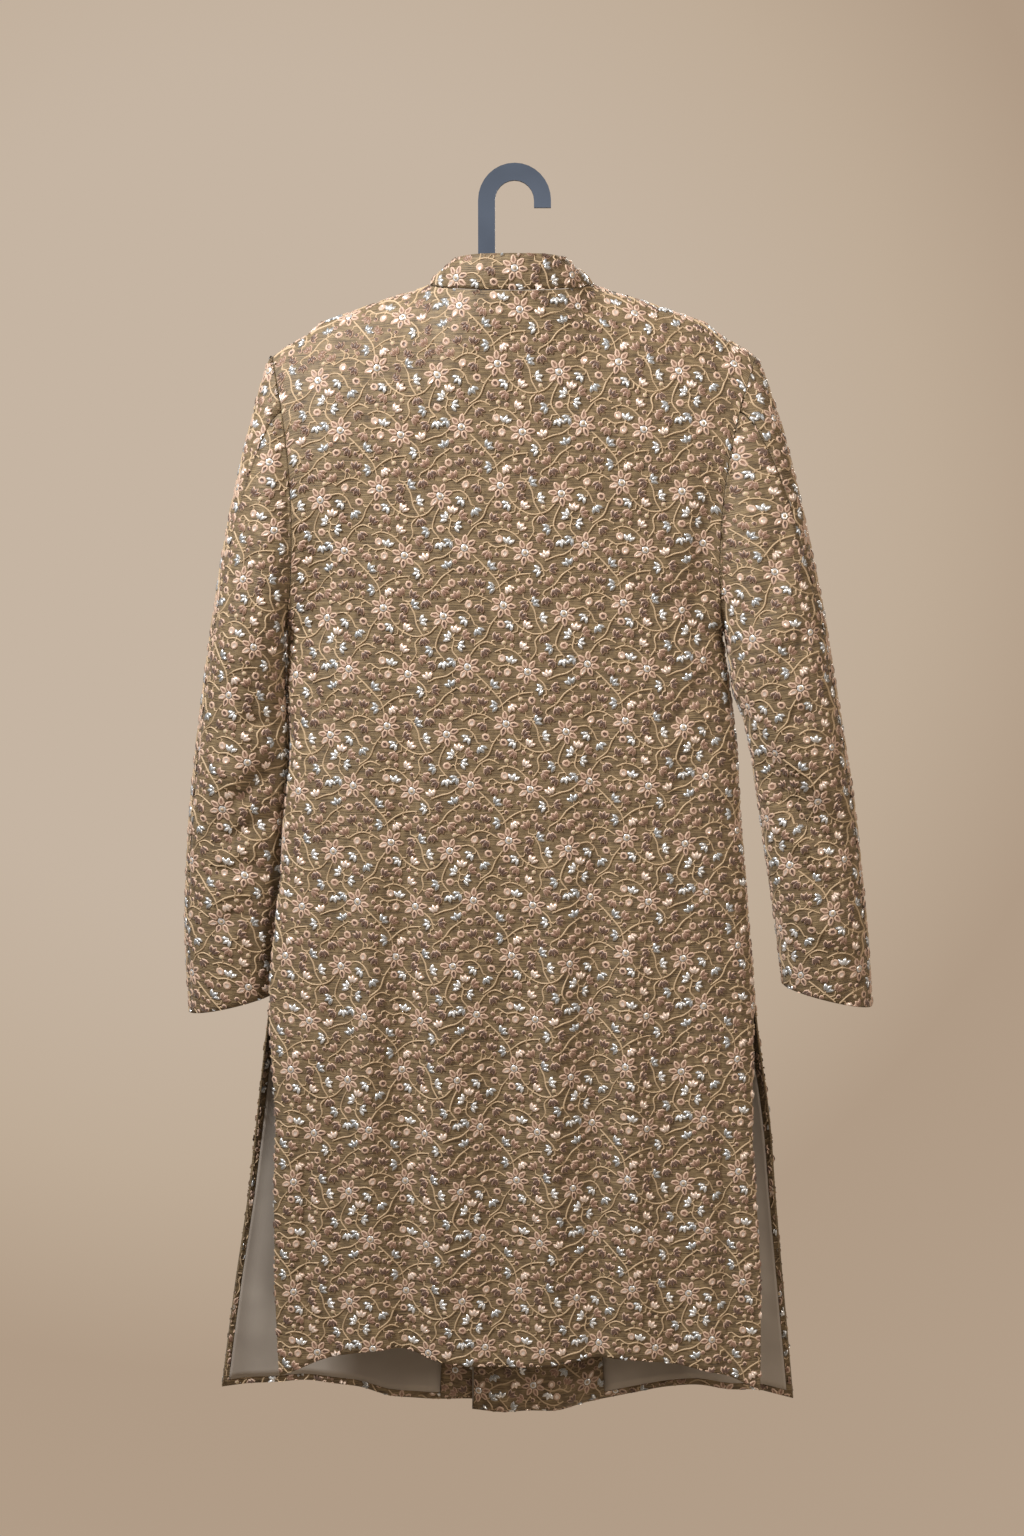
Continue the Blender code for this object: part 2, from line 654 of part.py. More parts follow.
def make_hanger(coating, collection, tools):
    """A flat hook whose stem runs into a round arm that carries both shoulders."""
    curve = bpy.data.curves.new("hook", "CURVE")
    curve.dimensions = "2D"
    curve.fill_mode = "BOTH"
    curve.extrude = HOOK_THICKNESS / 2 * MM
    spline = curve.splines.new("POLY")
    outline = hook_outline()
    spline.points.add(len(outline) - 1)
    for point, (x, z) in zip(spline.points, outline):
        point.co = (x * MM, z * MM, 0, 1)
    spline.use_cyclic_u = True
    hook = add(mesh_from_curve(curve, "hanger", collection), "hanger", coating, collection, False)
    hook.rotation_euler = (math.pi / 2, 0, 0)

    arm_curve = bpy.data.curves.new("arm", "CURVE")
    arm_curve.dimensions = "3D"
    arm_curve.bevel_depth = ARM_RADIUS * MM
    arm_curve.bevel_resolution = 3
    arm_curve.use_fill_caps = True
    xs = np.concatenate([-np.linspace(ARM_END_X, 22, 12), np.linspace(22, ARM_END_X, 12)])
    down = ARM_RADIUS + CLOTH + ARM_CLEAR
    line = arm_curve.splines.new("POLY")
    line.points.add(len(xs) - 1)
    for point, x in zip(line.points, xs):
        under_neck = ease((NECK_HALF_WIDTH + 25 - abs(x)) / NECK_HALF_WIDTH)
        z = shoulder_z(x) - down - ARM_DIP * under_neck
        point.co = (x * MM, 0, float(z) * MM, 1)
    arm = add(mesh_from_curve(arm_curve, "hanger_arm", collection), "hanger_arm", coating, tools)
    arm.hide_render = True
    arm.display_type = "WIRE"
    joined = hook.modifiers.new("arm", "BOOLEAN")
    joined.operation = "UNION"
    joined.object = arm


def main():
    for old in list(bpy.data.objects):
        bpy.data.objects.remove(old, do_unlink=True)
    coat = bpy.data.collections.new("sherwani_coat")
    tools = bpy.data.collections.new("cutters")
    for collection in (coat, tools):
        bpy.context.scene.collection.children.link(collection)

    silk = material("embroidered raw silk", (0.22, 0.15, 0.09), 0.6)
    lining = material("satin lining", (0.25, 0.21, 0.17), 0.45)
    buttons = material("antique gold metal", (0.45, 0.33, 0.2), 0.35, 1.0)
    plastic = material("moulded plastic", (0.09, 0.12, 0.16), 0.45)

    make_back(silk, coat)
    make_collar(silk, coat)
    for side in ("left", "right"):
        make_front(side, silk, coat)
        make_inside(side, "facing", silk, coat)
        make_inside(side, "lining", lining, coat)
        for piece in ("top", "under"):
            make_sleeve(side, piece, silk, coat)
    make_buttons(buttons, coat)
    make_hanger(plastic, coat, tools)


main()
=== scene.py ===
# %% [markdown]
# # An embroidered sherwani coat on its hanger
#
# A sherwani is a long, narrow coat with a stand collar. This one hangs empty from a flat plastic hook.
# It is raw silk, covered all over with corded flowers, vines, buds and leaves. The lesson builds the
# cloth panels as thin shells, lays one repeat of the embroidery out flat, wraps it round every panel,
# and then makes the threads, the lining, the buttons and the light.

# %% The model's frame
import json
import math

import bmesh
import bpy
import numpy as np
from mathutils import Euler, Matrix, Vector

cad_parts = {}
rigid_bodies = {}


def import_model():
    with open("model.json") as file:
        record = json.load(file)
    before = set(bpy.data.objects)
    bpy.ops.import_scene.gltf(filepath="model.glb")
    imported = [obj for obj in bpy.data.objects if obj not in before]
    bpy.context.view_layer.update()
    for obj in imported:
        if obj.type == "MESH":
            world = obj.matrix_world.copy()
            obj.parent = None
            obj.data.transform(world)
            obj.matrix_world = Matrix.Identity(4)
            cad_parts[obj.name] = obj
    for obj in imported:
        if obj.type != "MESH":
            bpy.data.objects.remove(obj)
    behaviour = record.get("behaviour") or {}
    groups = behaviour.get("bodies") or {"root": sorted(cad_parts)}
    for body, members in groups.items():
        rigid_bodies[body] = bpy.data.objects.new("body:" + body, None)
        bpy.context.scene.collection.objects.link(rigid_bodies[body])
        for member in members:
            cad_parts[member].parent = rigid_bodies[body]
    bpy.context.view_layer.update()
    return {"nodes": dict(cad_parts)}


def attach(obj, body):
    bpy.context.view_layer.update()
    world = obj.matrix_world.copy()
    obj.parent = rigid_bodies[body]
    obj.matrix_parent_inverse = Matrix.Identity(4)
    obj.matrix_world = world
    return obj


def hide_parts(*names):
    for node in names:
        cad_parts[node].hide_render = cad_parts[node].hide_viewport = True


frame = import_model()

# %% [markdown]
# ## Camera
#
# The coat is seen from behind, from a little above its middle, with a normal lens. The camera could be
# aimed by hand, but three numbers say it better: where it stands, how far it looks down, and its lens.

# %% Camera
CAMERA_AT = (0.0024, 2.100, -0.310)
CAMERA_TILT = 7.0  # degrees down
LENS = 50.0


def add_object(name, data):
    """A new object in the scene."""
    made = bpy.data.objects.new(name, data)
    bpy.context.scene.collection.objects.link(made)
    return made


camera = add_object("camera", bpy.data.cameras.new("camera"))
camera.data.lens = LENS
camera.data.sensor_fit = "VERTICAL"
camera.data.sensor_height = 36.0
camera.data.clip_end = 50.0
camera.location = CAMERA_AT
camera.rotation_euler = (math.radians(90 - CAMERA_TILT), 0, math.pi)
bpy.context.scene.camera = camera
print("the camera stands", CAMERA_AT[1], "m behind the coat")

# %% [markdown]
# ## Sizes of the coat
#
# A pattern cutter keeps the coat as a page of measurements. The tables below do the same, in
# millimetres. Each has named columns and is read as a smooth curve, so a few rows give a whole edge.

# %% Measurements
MM = 0.001
CLOTH = 2.0
FACING = 1.5
LINING = 1.0
COLLAR_WALL = 2.6
GAP = 0.4
LINING_GAP = 0.8
SHOULDER_Z = -166.0
UNDERARM_Z = -432.0
ARMHOLE_DEPTH = 32.0
ARMHOLE_SOFT_Z = -270.0
ARMHOLE_SOFT_REACH = 230.0
ARMHOLE_SHARE = 0.32
HEM_LEVEL = -1180.0
NECK_X = 3.0
NECK_HALF_WIDTH = 78.0
NECK_BACK_Y = 46.0
NECK_FRONT_Y = -49.5
NECK_SIDE_Z = -98.0
NECK_BACK_DROP = 10.0
NECK_FRONT_DROP = 74.0
COLLAR_BELLY = 2.0
COLLAR_OPENING = 0.004
EDGE_X = {"left": -30.0, "right": 44.0}
UNDERLAP = 5.6
UNDERLAP_REACH = (-34.0, -73.0)
TURNING = 6.5
FACING_SHARE = {"left": 0.322, "right": 0.413}
FACING_EDGE = 2.0
SKIRT_WIDTH = 336.0
FRONT_OUTWARDS = {"left": -1, "right": 1}  # which way each front's u x v normal points
SIDE_POWER = 2.8


def table(names, *rows):
    """A table as a dictionary of columns. The first column is the one it is read by."""
    return {name: [row[i] for row in rows] for i, name in enumerate(names.split())}


# Armhole ovals by side: the shoulder point, the underarm point, and how far the seam bows in between.
ARMHOLES = {
    "left": {"shoulder_x": 234.0, "underarm_x": 223.0, "bow": 13.0},
    "right": {"shoulder_x": 233.0, "underarm_x": 204.0, "bow": 17.0},
}

# Height of the shoulder seam by its share of the way from the neck point to the shoulder point.
SHOULDER = table(
    "share z",
    (0.0, -98), (0.12, -105.5), (0.27, -112), (0.44, -121), (0.57, -128),
    (0.69, -135), (0.78, -146), (0.87, -154), (0.94, -160), (1.0, -166),
)

# Side edges of the back and the fronts below the underarm.
# The x columns are distances from the middle, and the y columns say where each edge lies in depth.
SIDES = table(
    "z back_left back_right front_left front_right back_y front_y",
    (-432, 223, 204, 223, 204, 0, 0),
    (-480, 224, 211, 224, 211, 0, 0),
    (-540, 221, 219, 221, 219, 0, 0),
    (-618, 229, 225, 229, 225, 0, 0),
    (-675, 233, 230, 233, 230, 0, 0),
    (-733, 240, 235, 240, 235, 0, 0),
    (-799, 246, 241, 246, 242, 0, 0),
    (-841, 245, 240, 252, 248, 7, -4),
    (-925, 240, 239, 264, 262, 18, -19),
    (-1000, 242, 244, 275, 270, 22, -28),
    (-1083, 242, 249, 290, 280, 24, -33),
    (-1180, 239, 250, 306, 292, 25, -35),
)

# Depth of the middle of the back and of the fronts, and the power that rounds their sides.
DEPTHS = table(
    "z back front side_round",
    (-166, 46, -50, 1.0),
    (-300, 45.5, -49, 1.0),
    (-380, 45, -48.5, 0.8),
    (-432, 44.6, -48.4, 0.64),
    (-540, 43.7, -48.4, 0.5),
    (-800, 42, -49, 0.5),
    (-1000, 40, -49, 0.6),
    (-1180, 38, -47, 0.8),
)

BACK_HEM = table(
    "x z",
    (-250, -1202), (-209, -1182), (-153, -1170), (-88, -1163), (-36, -1171), (8, -1172),
    (66, -1169), (120, -1155), (152, -1157), (194, -1168), (240, -1187),
)
LEFT_HEM = table(
    "x z",
    (-30, -1243), (50, -1242), (78, -1241), (120, -1237), (172, -1226), (224, -1218), (307, -1223),
)
RIGHT_HEM = table(
    "x z",
    (-294, -1236), (-249, -1228), (-192, -1225), (-153, -1226), (-110, -1238), (-78, -1245),
    (-38, -1252), (2, -1253), (44, -1251),
)

# Soft upright troughs. Each runs from x_top to x_bottom and deepens on its way down.
BACK_FOLDS = table(
    "x_top x_bottom z_top z_bottom width depth",
    (104, 110, -240, -1150, 17, 7.5),
    (-79, -81, -240, -1150, 15, 7.0),
    (168, 186, -560, -1180, 16, 3.5),
    (-150, -163, -620, -1180, 18, 3.0),
)
FRONT_FOLDS = table(
    "x_top x_bottom z_top z_bottom width depth",
    (112, 132, -330, -1200, 20, 5.5),
    (-118, -140, -360, -1200, 18, 5.0),
    (192, 232, -700, -1200, 22, 4.5),
    (-190, -222, -720, -1200, 24, 4.5),
)

# Sleeves, from the armhole to the cuff. outer and inner are the two sides of a sleeve seen from
# behind; y is the middle of its depth.
SLEEVES = {
    "left": table(
        "t outer_x outer_z inner_x inner_z y half_depth bow",
        (0.00, 234, -166, 223, -432, 0, 32, 13),
        (0.012, 237, -168.5, 226, -432.6, 0, 32, 13),
        (0.06, 244, -188, 227, -438, 0, 36, 8),
        (0.14, 258, -237, 226.8, -444, -1, 39, 4),
        (0.26, 277, -312, 226.3, -456, -4, 42, 1),
        (0.40, 296, -411, 225.6, -482, -9, 43, 0),
        (0.50, 306, -471, 222.8, -514, -14, 42, 0),
        (0.60, 315, -530, 221.8, -557, -18, 41, 0),
        (0.70, 323, -590, 226, -608, -22, 39, 0),
        (0.80, 330, -660, 230, -668, -27, 37, 0),
        (0.90, 334, -741, 236, -735, -32, 36, 0),
        (1.00, 332, -822, 243, -802, -36, 35, 0),
    ),
    "right": table(
        "t outer_x outer_z inner_x inner_z y half_depth bow",
        (0.00, 233, -166, 204, -432, 0, 32, 17),
        (0.012, 236, -168.5, 207, -432.6, 0, 32, 17),
        (0.06, 243, -187, 208.2, -439, 1, 36, 10),
        (0.14, 260, -236, 209.4, -448, 3, 39, 5),
        (0.26, 280, -312, 212, -465, 5, 42, 1),
        (0.40, 302, -411, 216, -492, 7, 43, 0),
        (0.50, 314, -477, 227, -521, 7, 42, 0),
        (0.60, 325, -536, 235, -557, 4, 41, 0),
        (0.70, 336, -594, 243, -605, -1, 39, 0),
        (0.80, 346, -662, 253, -664, -8, 37, 0),
        (0.90, 356, -740, 264, -732, -16, 36, 0),
        (1.00, 363, -813, 273, -792, -23, 35, 0),
    ),
}

# Where the two seams of a sleeve run round it, in degrees: 0 is its outer side and 90 its back.
SLEEVE_SEAMS = table(
    "t hind fore",
    (0.0, 54, -126),
    (0.3, 38, -134),
    (0.5, 28, -140),
    (1.0, 26, -148),
)

# Elbow folds: a fold starts at a corner near the body and runs outward and down. The cloth under it
# falls back by its depth, and comes out again further down.
ELBOWS = {
    "left": {"x": 232.0, "z": -560.0, "slope": -0.75, "depth": 4.0, "reach": 70.0},
    "right": {"x": 226.0, "z": -499.0, "slope": -1.12, "depth": 8.0, "reach": 90.0},
}

# The collar by its angle round the neck from the back: its top edge.
COLLAR_TOP = table(
    "angle x y z",
    (0, 0, 48, -73.5),
    (28, 27, 44, -73.5),
    (55, 49, 30, -75),
    (90, 61, 0, -84),
    (125, 53, -32, -105),
    (152, 30, -54, -127),
    (180, 0, -62, -137),
)

# %% [markdown]
# ## Soft creases
#
# Hanging cloth creases at the armholes and elbows and falls in long soft folds. It could be draped by a
# simulation, but a short table of places, widths and depths keeps each crease where it is wanted.

# %% Soft creases that the coat hangs in
# Each crease runs between two places across the coat. A positive depth is a trough, a negative one a ridge.
BACK_CREASES = table(
    "x_from z_from x_to z_to width depth",
    (-36, -127, -96, -130, 5, 3.7),
    (-30, -134, -100, -139, 8, -2.7),
    (205, -300, 176, -470, 11, 4.1),
    (186, -240, 160, -420, 14, -3.1),
    (-196, -285, -170, -455, 11, 4.4),
    (-176, -250, -150, -400, 13, -3.1),
    (222, -452, 150, -560, 9, 3.7),
    (216, -500, 120, -640, 12, 2.4),
    (-204, -450, -140, -540, 9, 3.7),
    (-208, -505, -118, -650, 13, 2.5),
    (140, -640, 148, -1020, 12, -6.2),
    (70, -700, 60, -1150, 16, -6.7),
    (-45, -620, -36, -1140, 14, -7.1),
    (-112, -680, -122, -1150, 13, -7.1),
    (20, -760, 12, -1160, 18, 6.2),
    (206, -860, 212, -1180, 9, 5.7),
    (-205, -880, -218, -1190, 10, 6.2),
    (90, -176, 150, -196, 8, 2.4),
    (-100, -178, -160, -214, 8, 2.5),
)
FRONT_CREASES = table(
    "x_from z_from x_to z_to width depth",
    (206, -300, 172, -470, 11, 4.1),
    (-194, -290, -166, -450, 11, 4.1),
    (218, -455, 140, -570, 10, 3.7),
    (-200, -455, -130, -560, 10, 3.7),
    (70, -640, 84, -1150, 15, -6.2),
    (168, -760, 186, -1160, 15, -6.2),
    (-84, -700, -96, -1180, 15, -6.2),
    (-164, -740, -184, -1170, 15, -5.7),
    (250, -960, 268, -1190, 12, 5.7),
    (-244, -950, -258, -1190, 12, 5.7),
    (60, -190, 150, -260, 12, 2.4),
    (-60, -190, -150, -270, 12, 2.4),
)
SLEEVE_CREASES = {
    "left": table(
        "x_from z_from x_to z_to width depth",
        (232, -556, 286, -604, 9, 7.6),
        (238, -610, 300, -650, 9, 5.2),
        (232, -520, 272, -520, 8, 4.8),
        (300, -560, 262, -590, 10, -3.8),
        (246, -664, 320, -676, 10, 4.3),
        (262, -300, 250, -420, 10, 4.8),
        (284, -400, 262, -500, 12, -3.8),
        (262, -700, 314, -742, 10, 3.8),
    ),
    "right": table(
        "x_from z_from x_to z_to width depth",
        (224, -505, 316, -612, 8, -6.2),
        (226, -530, 300, -640, 9, 6.2),
        (238, -566, 318, -660, 10, 4.3),
        (262, -300, 240, -430, 10, 4.8),
        (296, -420, 250, -470, 11, 4.3),
        (252, -640, 330, -700, 10, 4.8),
        (264, -700, 346, -752, 10, -3.8),
        (300, -500, 262, -520, 9, 3.8),
    ),
}
HEM_RIPPLE = 2.0  # how far the hems wave in and out, in millimetres
RIPPLE_TOP = -1090  # where that starts
RIPPLE_REACH = 90  # and how far down it takes to grow


def crease_depth(creases, x, z):
    """How far a table's creases push the cloth in at a place. Each fades out at both its ends."""
    depth = np.zeros(np.broadcast(x, z).shape)
    for i in range(len(creases["width"])):
        start = np.array([creases["x_from"][i], creases["z_from"][i]], float)
        way = np.array([creases["x_to"][i], creases["z_to"][i]], float) - start
        long = np.hypot(*way)
        along = ((x - start[0]) * way[0] + (z - start[1]) * way[1]) / long**2
        off = ((x - start[0]) * way[1] - (z - start[1]) * way[0]) / long
        taper = np.sin(math.pi * np.clip(along, 0, 1)) ** 0.8
        depth += creases["depth"][i] * taper * np.exp(-((off / creases["width"][i]) ** 2))
    return depth


# %% [markdown]
# ## The surfaces of the cloth
#
# Each panel is a surface of two parameters: u runs across it and v runs down. The cloth could be sculpted or
# simulated, but a hung coat is mostly its cut, so its edges come from the tables and the creases it hangs in
# are laid on one by one.

# %% Surfaces
def read(rows, column, at):
    """A smooth curve through one column of a table, which never overshoots its points."""
    keys = np.array(next(iter(rows.values())), float)
    values = np.array(rows[column], float)
    order = np.argsort(keys)
    keys, values = keys[order], values[order]
    steps = np.diff(keys)
    slopes = np.diff(values) / steps
    tangents = np.concatenate([slopes[:1], np.zeros(len(slopes) - 1), slopes[-1:]])
    product = slopes[:-1] * slopes[1:]
    total = slopes[:-1] + slopes[1:]
    tangents[1:-1] = np.where(product > 0, 2 * product / np.where(product > 0, total, 1), 0)
    at = np.clip(at, keys[0], keys[-1])
    i = np.clip(np.searchsorted(keys, at) - 1, 0, len(steps) - 1)
    t = (at - keys[i]) / steps[i]
    rise = values[i] * (2 * t**3 - 3 * t**2 + 1) + values[i + 1] * (3 * t**2 - 2 * t**3)
    bend = tangents[i] * (t**3 - 2 * t**2 + t) + tangents[i + 1] * (t**3 - t**2)
    return rise + steps[i] * bend


def ease(t):
    """0 below 0, 1 above 1, and a soft step between."""
    t = np.clip(t, 0.0, 1.0)
    return t * t * (3 - 2 * t)


def neck(x, back):
    """Depth and height of the neck seam at x, and whether x is inside the neck."""
    share = np.clip(np.abs(x - NECK_X) / NECK_HALF_WIDTH, 0, 1)
    inwards = np.sqrt(1 - share**2)
    y = (NECK_BACK_Y if back else NECK_FRONT_Y) * inwards
    drop = NECK_BACK_DROP * inwards if back else NECK_FRONT_DROP * inwards**2.2
    return y, NECK_SIDE_Z - drop, share


def shoulder_z(x):
    """Height of the shoulder seam at x."""
    start = np.where(x > 0, NECK_HALF_WIDTH + NECK_X, NECK_HALF_WIDTH - NECK_X)
    end = np.where(x > 0, ARMHOLES["left"]["shoulder_x"], ARMHOLES["right"]["shoulder_x"])
    return read(SHOULDER, "z", (np.abs(x) - start) / (end - start))


def top_edge(x, back):
    """Height of a panel's top edge, and of the ridge where the cloth below it would close. They are
    the same on the shoulder seam; inside the neck seam the ridge rises towards the middle."""
    _, z, share = neck(x, back)
    z = np.where(share < 1, z, shoulder_z(x))
    return z, z + (SHOULDER_Z - UNDERARM_Z) / 2 * (1 - share)


def level(v):
    """The armhole angle and the height of a panel's length parameter."""
    angle = math.pi * np.clip(v / ARMHOLE_SHARE, 0, 1)
    middle = (SHOULDER_Z + UNDERARM_Z) / 2
    half = (SHOULDER_Z - UNDERARM_Z) / 2
    below = np.clip((v - ARMHOLE_SHARE) / (1 - ARMHOLE_SHARE), 0, 1)
    z = np.where(v < ARMHOLE_SHARE, middle + half * np.cos(angle), UNDERARM_Z)
    return angle, z + (HEM_LEVEL - UNDERARM_Z) * below


def side_distance(side, face, v):
    """Distance from the middle to a panel's side edge: the armhole seam, then the side seam."""
    angle, z = level(v)
    hole = ARMHOLES[side]
    middle = (hole["shoulder_x"] + hole["underarm_x"]) / 2
    half = (hole["shoulder_x"] - hole["underarm_x"]) / 2
    armhole = middle + half * np.cos(angle) - hole["bow"] * np.sin(angle) ** 2
    return np.where(v < ARMHOLE_SHARE, armhole, read(SIDES, face + "_" + side, z))


def fold_depth(folds, x, z):
    """How far the upright troughs of a table push the cloth in at a place."""
    depth = np.zeros_like(x)
    for i in range(len(folds["width"])):
        fold = {name: column[i] for name, column in folds.items()}
        along = (fold["z_top"] - z) / (fold["z_top"] - fold["z_bottom"])
        middle = fold["x_top"] + (fold["x_bottom"] - fold["x_top"]) * np.clip(along, 0, 1)
        across = (x - middle) / fold["width"]
        depth += fold["depth"] * ease(along * 1.4) * np.exp(-across * across)
    return depth


def panel_point(x, x_top, side, face, v):
    """A point of the body's outer surface at x, on the back or a front, in the column that starts
    at x_top on the panel's top edge."""
    back = face == "back"
    sign = 1.0 if back else -1.0
    angle, z_level = level(v)
    reach = side_distance(side, face, v)
    w = np.clip(np.abs(x) / reach, 0, 1)
    top_z, ridge_z = top_edge(x_top, back)
    hems = BACK_HEM if back else (LEFT_HEM if side == "left" else RIGHT_HEM)
    below = np.clip((UNDERARM_Z - z_level) / (UNDERARM_Z - HEM_LEVEL), 0, 1)
    fade = (1 - (SHOULDER_Z - z_level) / (SHOULDER_Z - HEM_LEVEL)) ** 2
    z = z_level + (top_z - SHOULDER_Z) * fade + (read(hems, "z", x) - HEM_LEVEL) * below**3
    armhole_y = ARMHOLE_DEPTH * np.where(angle < math.pi / 2, 1.0, np.sin(angle))
    beside_y = ARMHOLE_DEPTH * (1 - ease((ARMHOLE_SOFT_Z - z_level) / ARMHOLE_SOFT_REACH))
    side_y = read(SIDES, face + "_y", z_level)
    edge_y = np.where(v < ARMHOLE_SHARE, sign * armhole_y, side_y)
    edge_y = edge_y + (sign * beside_y + side_y - edge_y) * (1 - w**12)
    middle_y = read(DEPTHS, face, z_level)
    rounding = np.clip(1 - w**SIDE_POWER, 0, 1) ** read(DEPTHS, "side_round", z_level)
    full_y = edge_y + (middle_y - edge_y) * rounding
    fall = np.clip((ridge_z - z) / (SHOULDER_Z - UNDERARM_Z) * 2, 0, 1)
    y = full_y * np.sqrt(1 - (1 - fall) ** 2)
    folds = BACK_FOLDS if back else FRONT_FOLDS
    inwards = fold_depth(folds, x, z) + crease_depth(BACK_CREASES if back else FRONT_CREASES, x, z)
    ripple = HEM_RIPPLE * np.sin(x / 13 + np.sin(x / 37)) * ease((RIPPLE_TOP - z) / RIPPLE_REACH)
    y = y - sign * (inwards + ripple) * (1 - ease((w - 0.85) / 0.15)) * ease(v / 0.02)
    return x, y, z


def stacked(x, y, z):
    """Three coordinates as points."""
    return np.stack(np.broadcast_arrays(x, y, z), axis=-1)


def back_surface(u, v):
    """The back, with u from the wearer's right to the left."""
    across = np.sin(math.pi / 2 * (2 * u - 1))
    halves = []
    for side in ("left", "right"):
        x, x_top = (across * side_distance(side, "back", at) for at in (v, 0 * v))
        halves.append(stacked(*panel_point(x, x_top, side, "back", v)))
    points = np.where((across >= 0)[..., None], *halves)
    points[..., 1] += GAP / 2
    return points


def front_x(side, share, v):
    """Where a share of the way from a front's edge to its side lies across the body."""
    edge_x = EDGE_X[side]
    side_x = side_distance(side, "front", v) * (1 if side == "left" else -1)
    return edge_x + (side_x - edge_x) * share


def front_surface(side):
    """A front, with u from its front edge to its side."""

    def surface(u, v):
        share = np.sin(math.pi / 2 * u)
        x, x_top = front_x(side, share, v), front_x(side, share, 0 * v)
        x, y, z = panel_point(x, x_top, side, "front", v)
        if side == "right":
            outer, inner = UNDERLAP_REACH
            shift = UNDERLAP * ease((x - inner) / (outer - inner))
            y = y + shift
            z = z - shift * (1 - ease(v / 0.1))
        return stacked(x, y - GAP / 2, z)

    return surface


def elbow_shift(side, x, z, back_share):
    """How far the cloth under the elbow fold falls back towards the front."""
    fold = ELBOWS[side]
    line_z = fold["z"] + fold["slope"] * (x - fold["x"])
    below = (line_z - z) / math.hypot(1, fold["slope"])
    drop = ease((below + 10) / 26) * (1 - ease(below / fold["reach"]))
    return -fold["depth"] * drop * back_share


def sleeve_surface(side, piece):
    """One of a sleeve's two pieces, with u round it from the hind-arm seam and v down to the cuff."""
    sign = 1.0 if side == "left" else -1.0
    rows = SLEEVES[side]

    def surface(u, v):
        start = read(SLEEVE_SEAMS, "hind", v)
        fore = read(SLEEVE_SEAMS, "fore", v)
        end = fore if piece == "top" else fore + 360
        angle = np.radians(start + (end - start) * u)
        outer_x, outer_z = read(rows, "outer_x", v), read(rows, "outer_z", v)
        inner_x, inner_z = read(rows, "inner_x", v), read(rows, "inner_z", v)
        c, s = np.cos(angle), np.sin(angle)
        x = (outer_x + inner_x) / 2 + (outer_x - inner_x) / 2 * c - read(rows, "bow", v) * s**2
        z = (outer_z + inner_z) / 2 + (outer_z - inner_z) / 2 * c
        y = read(rows, "y", v) + read(rows, "half_depth", v) * s
        y = y + elbow_shift(side, x, z, np.clip(s, 0, 1))
        y = y - crease_depth(SLEEVE_CREASES[side], x, z) * s * ease(v / 0.1)
        x = x + GAP * (1 - ease(v / 0.05))
        return stacked(sign * x, y, z)

    return surface


def collar_surface(u, v):
    """The stand collar, with u round the neck from one front end to the other and v upwards."""
    angle = (u - 0.5) * 360
    turn = np.radians(np.abs(angle))
    sign = np.sign(angle)
    low_x = NECK_X + sign * NECK_HALF_WIDTH * np.sin(turn)
    in_back = neck(low_x, True)
    in_front = neck(low_x, False)
    behind = turn < math.pi / 2
    low_y = np.where(behind, in_back[0], in_front[0])
    low_z = np.where(behind, in_back[1], in_front[1]) + 2 * GAP
    degrees = np.abs(angle)
    high_x = NECK_X + sign * read(COLLAR_TOP, "x", degrees)
    high_y = read(COLLAR_TOP, "y", degrees)
    high_z = read(COLLAR_TOP, "z", degrees)
    belly = COLLAR_BELLY * np.sin(math.pi * v)
    x = low_x + (high_x - low_x) * v**1.2 + sign * belly * np.sin(turn)
    y = low_y + (high_y - low_y) * v + belly * np.cos(turn)
    return stacked(x, y, low_z + (high_z - low_z) * v)


def normals(surface, u, v, outwards):
    """Unit normals of a surface; outwards is 1 or -1, the way its u x v normal points."""
    step = 1e-4
    along_u = surface(np.minimum(u + step, 1), v) - surface(np.maximum(u - step, 0), v)
    along_v = surface(u, np.minimum(v + step, 1)) - surface(u, np.maximum(v - step, 0))
    return unit(np.cross(along_u, along_v) * outwards)


def unit(vectors):
    """Vectors of length one."""
    return vectors / np.linalg.norm(vectors, axis=-1, keepdims=True)


# %% [markdown]
# ## Laying each panel out flat
#
# Cloth is cut flat and its pattern is drawn flat, so every panel needs a chart: how far right and how
# far up each of its points lies on the flat cloth. An unwrap could find one, but a measured chart keeps
# the grain straight. Hanging panels are measured over their folds. A sleeve is measured round its arm.

# %% Charts
CHART_ROWS = 241
CHART_COLUMNS = 121
CLOSE_ENOUGH = 0.9  # how far off a place found on a chart may be, in millimetres
SLEEVE_TILT = {"left": 7.5, "right": 11.0}  # degrees that a sleeve's grain leans out from straight down


def running(steps, axis):
    """A running total that starts at 0."""
    total = np.cumsum(steps, axis=axis)
    pad = [(0, 0), (0, 0)]
    pad[axis] = (1, 0)
    return np.pad(total, pad)


def lay_hanging(points, anchor):
    """Right and up on a panel that hangs straight, from the column at share anchor of its width."""
    x, y, z = np.moveaxis(points, -1, 0)
    across = running(np.hypot(np.diff(x, axis=0), np.diff(y, axis=0)) * np.sign(np.diff(x, axis=0)), 0)
    down = running(np.hypot(np.diff(y, axis=1), np.diff(z, axis=1)) * np.sign(np.diff(z, axis=1)), 1)
    column = round(anchor * (len(x) - 1))
    row = round(ARMHOLE_SHARE * (x.shape[1] - 1))
    return (across - across[column] + x[column], down - down[:, row:row + 1] + z[:, row:row + 1])


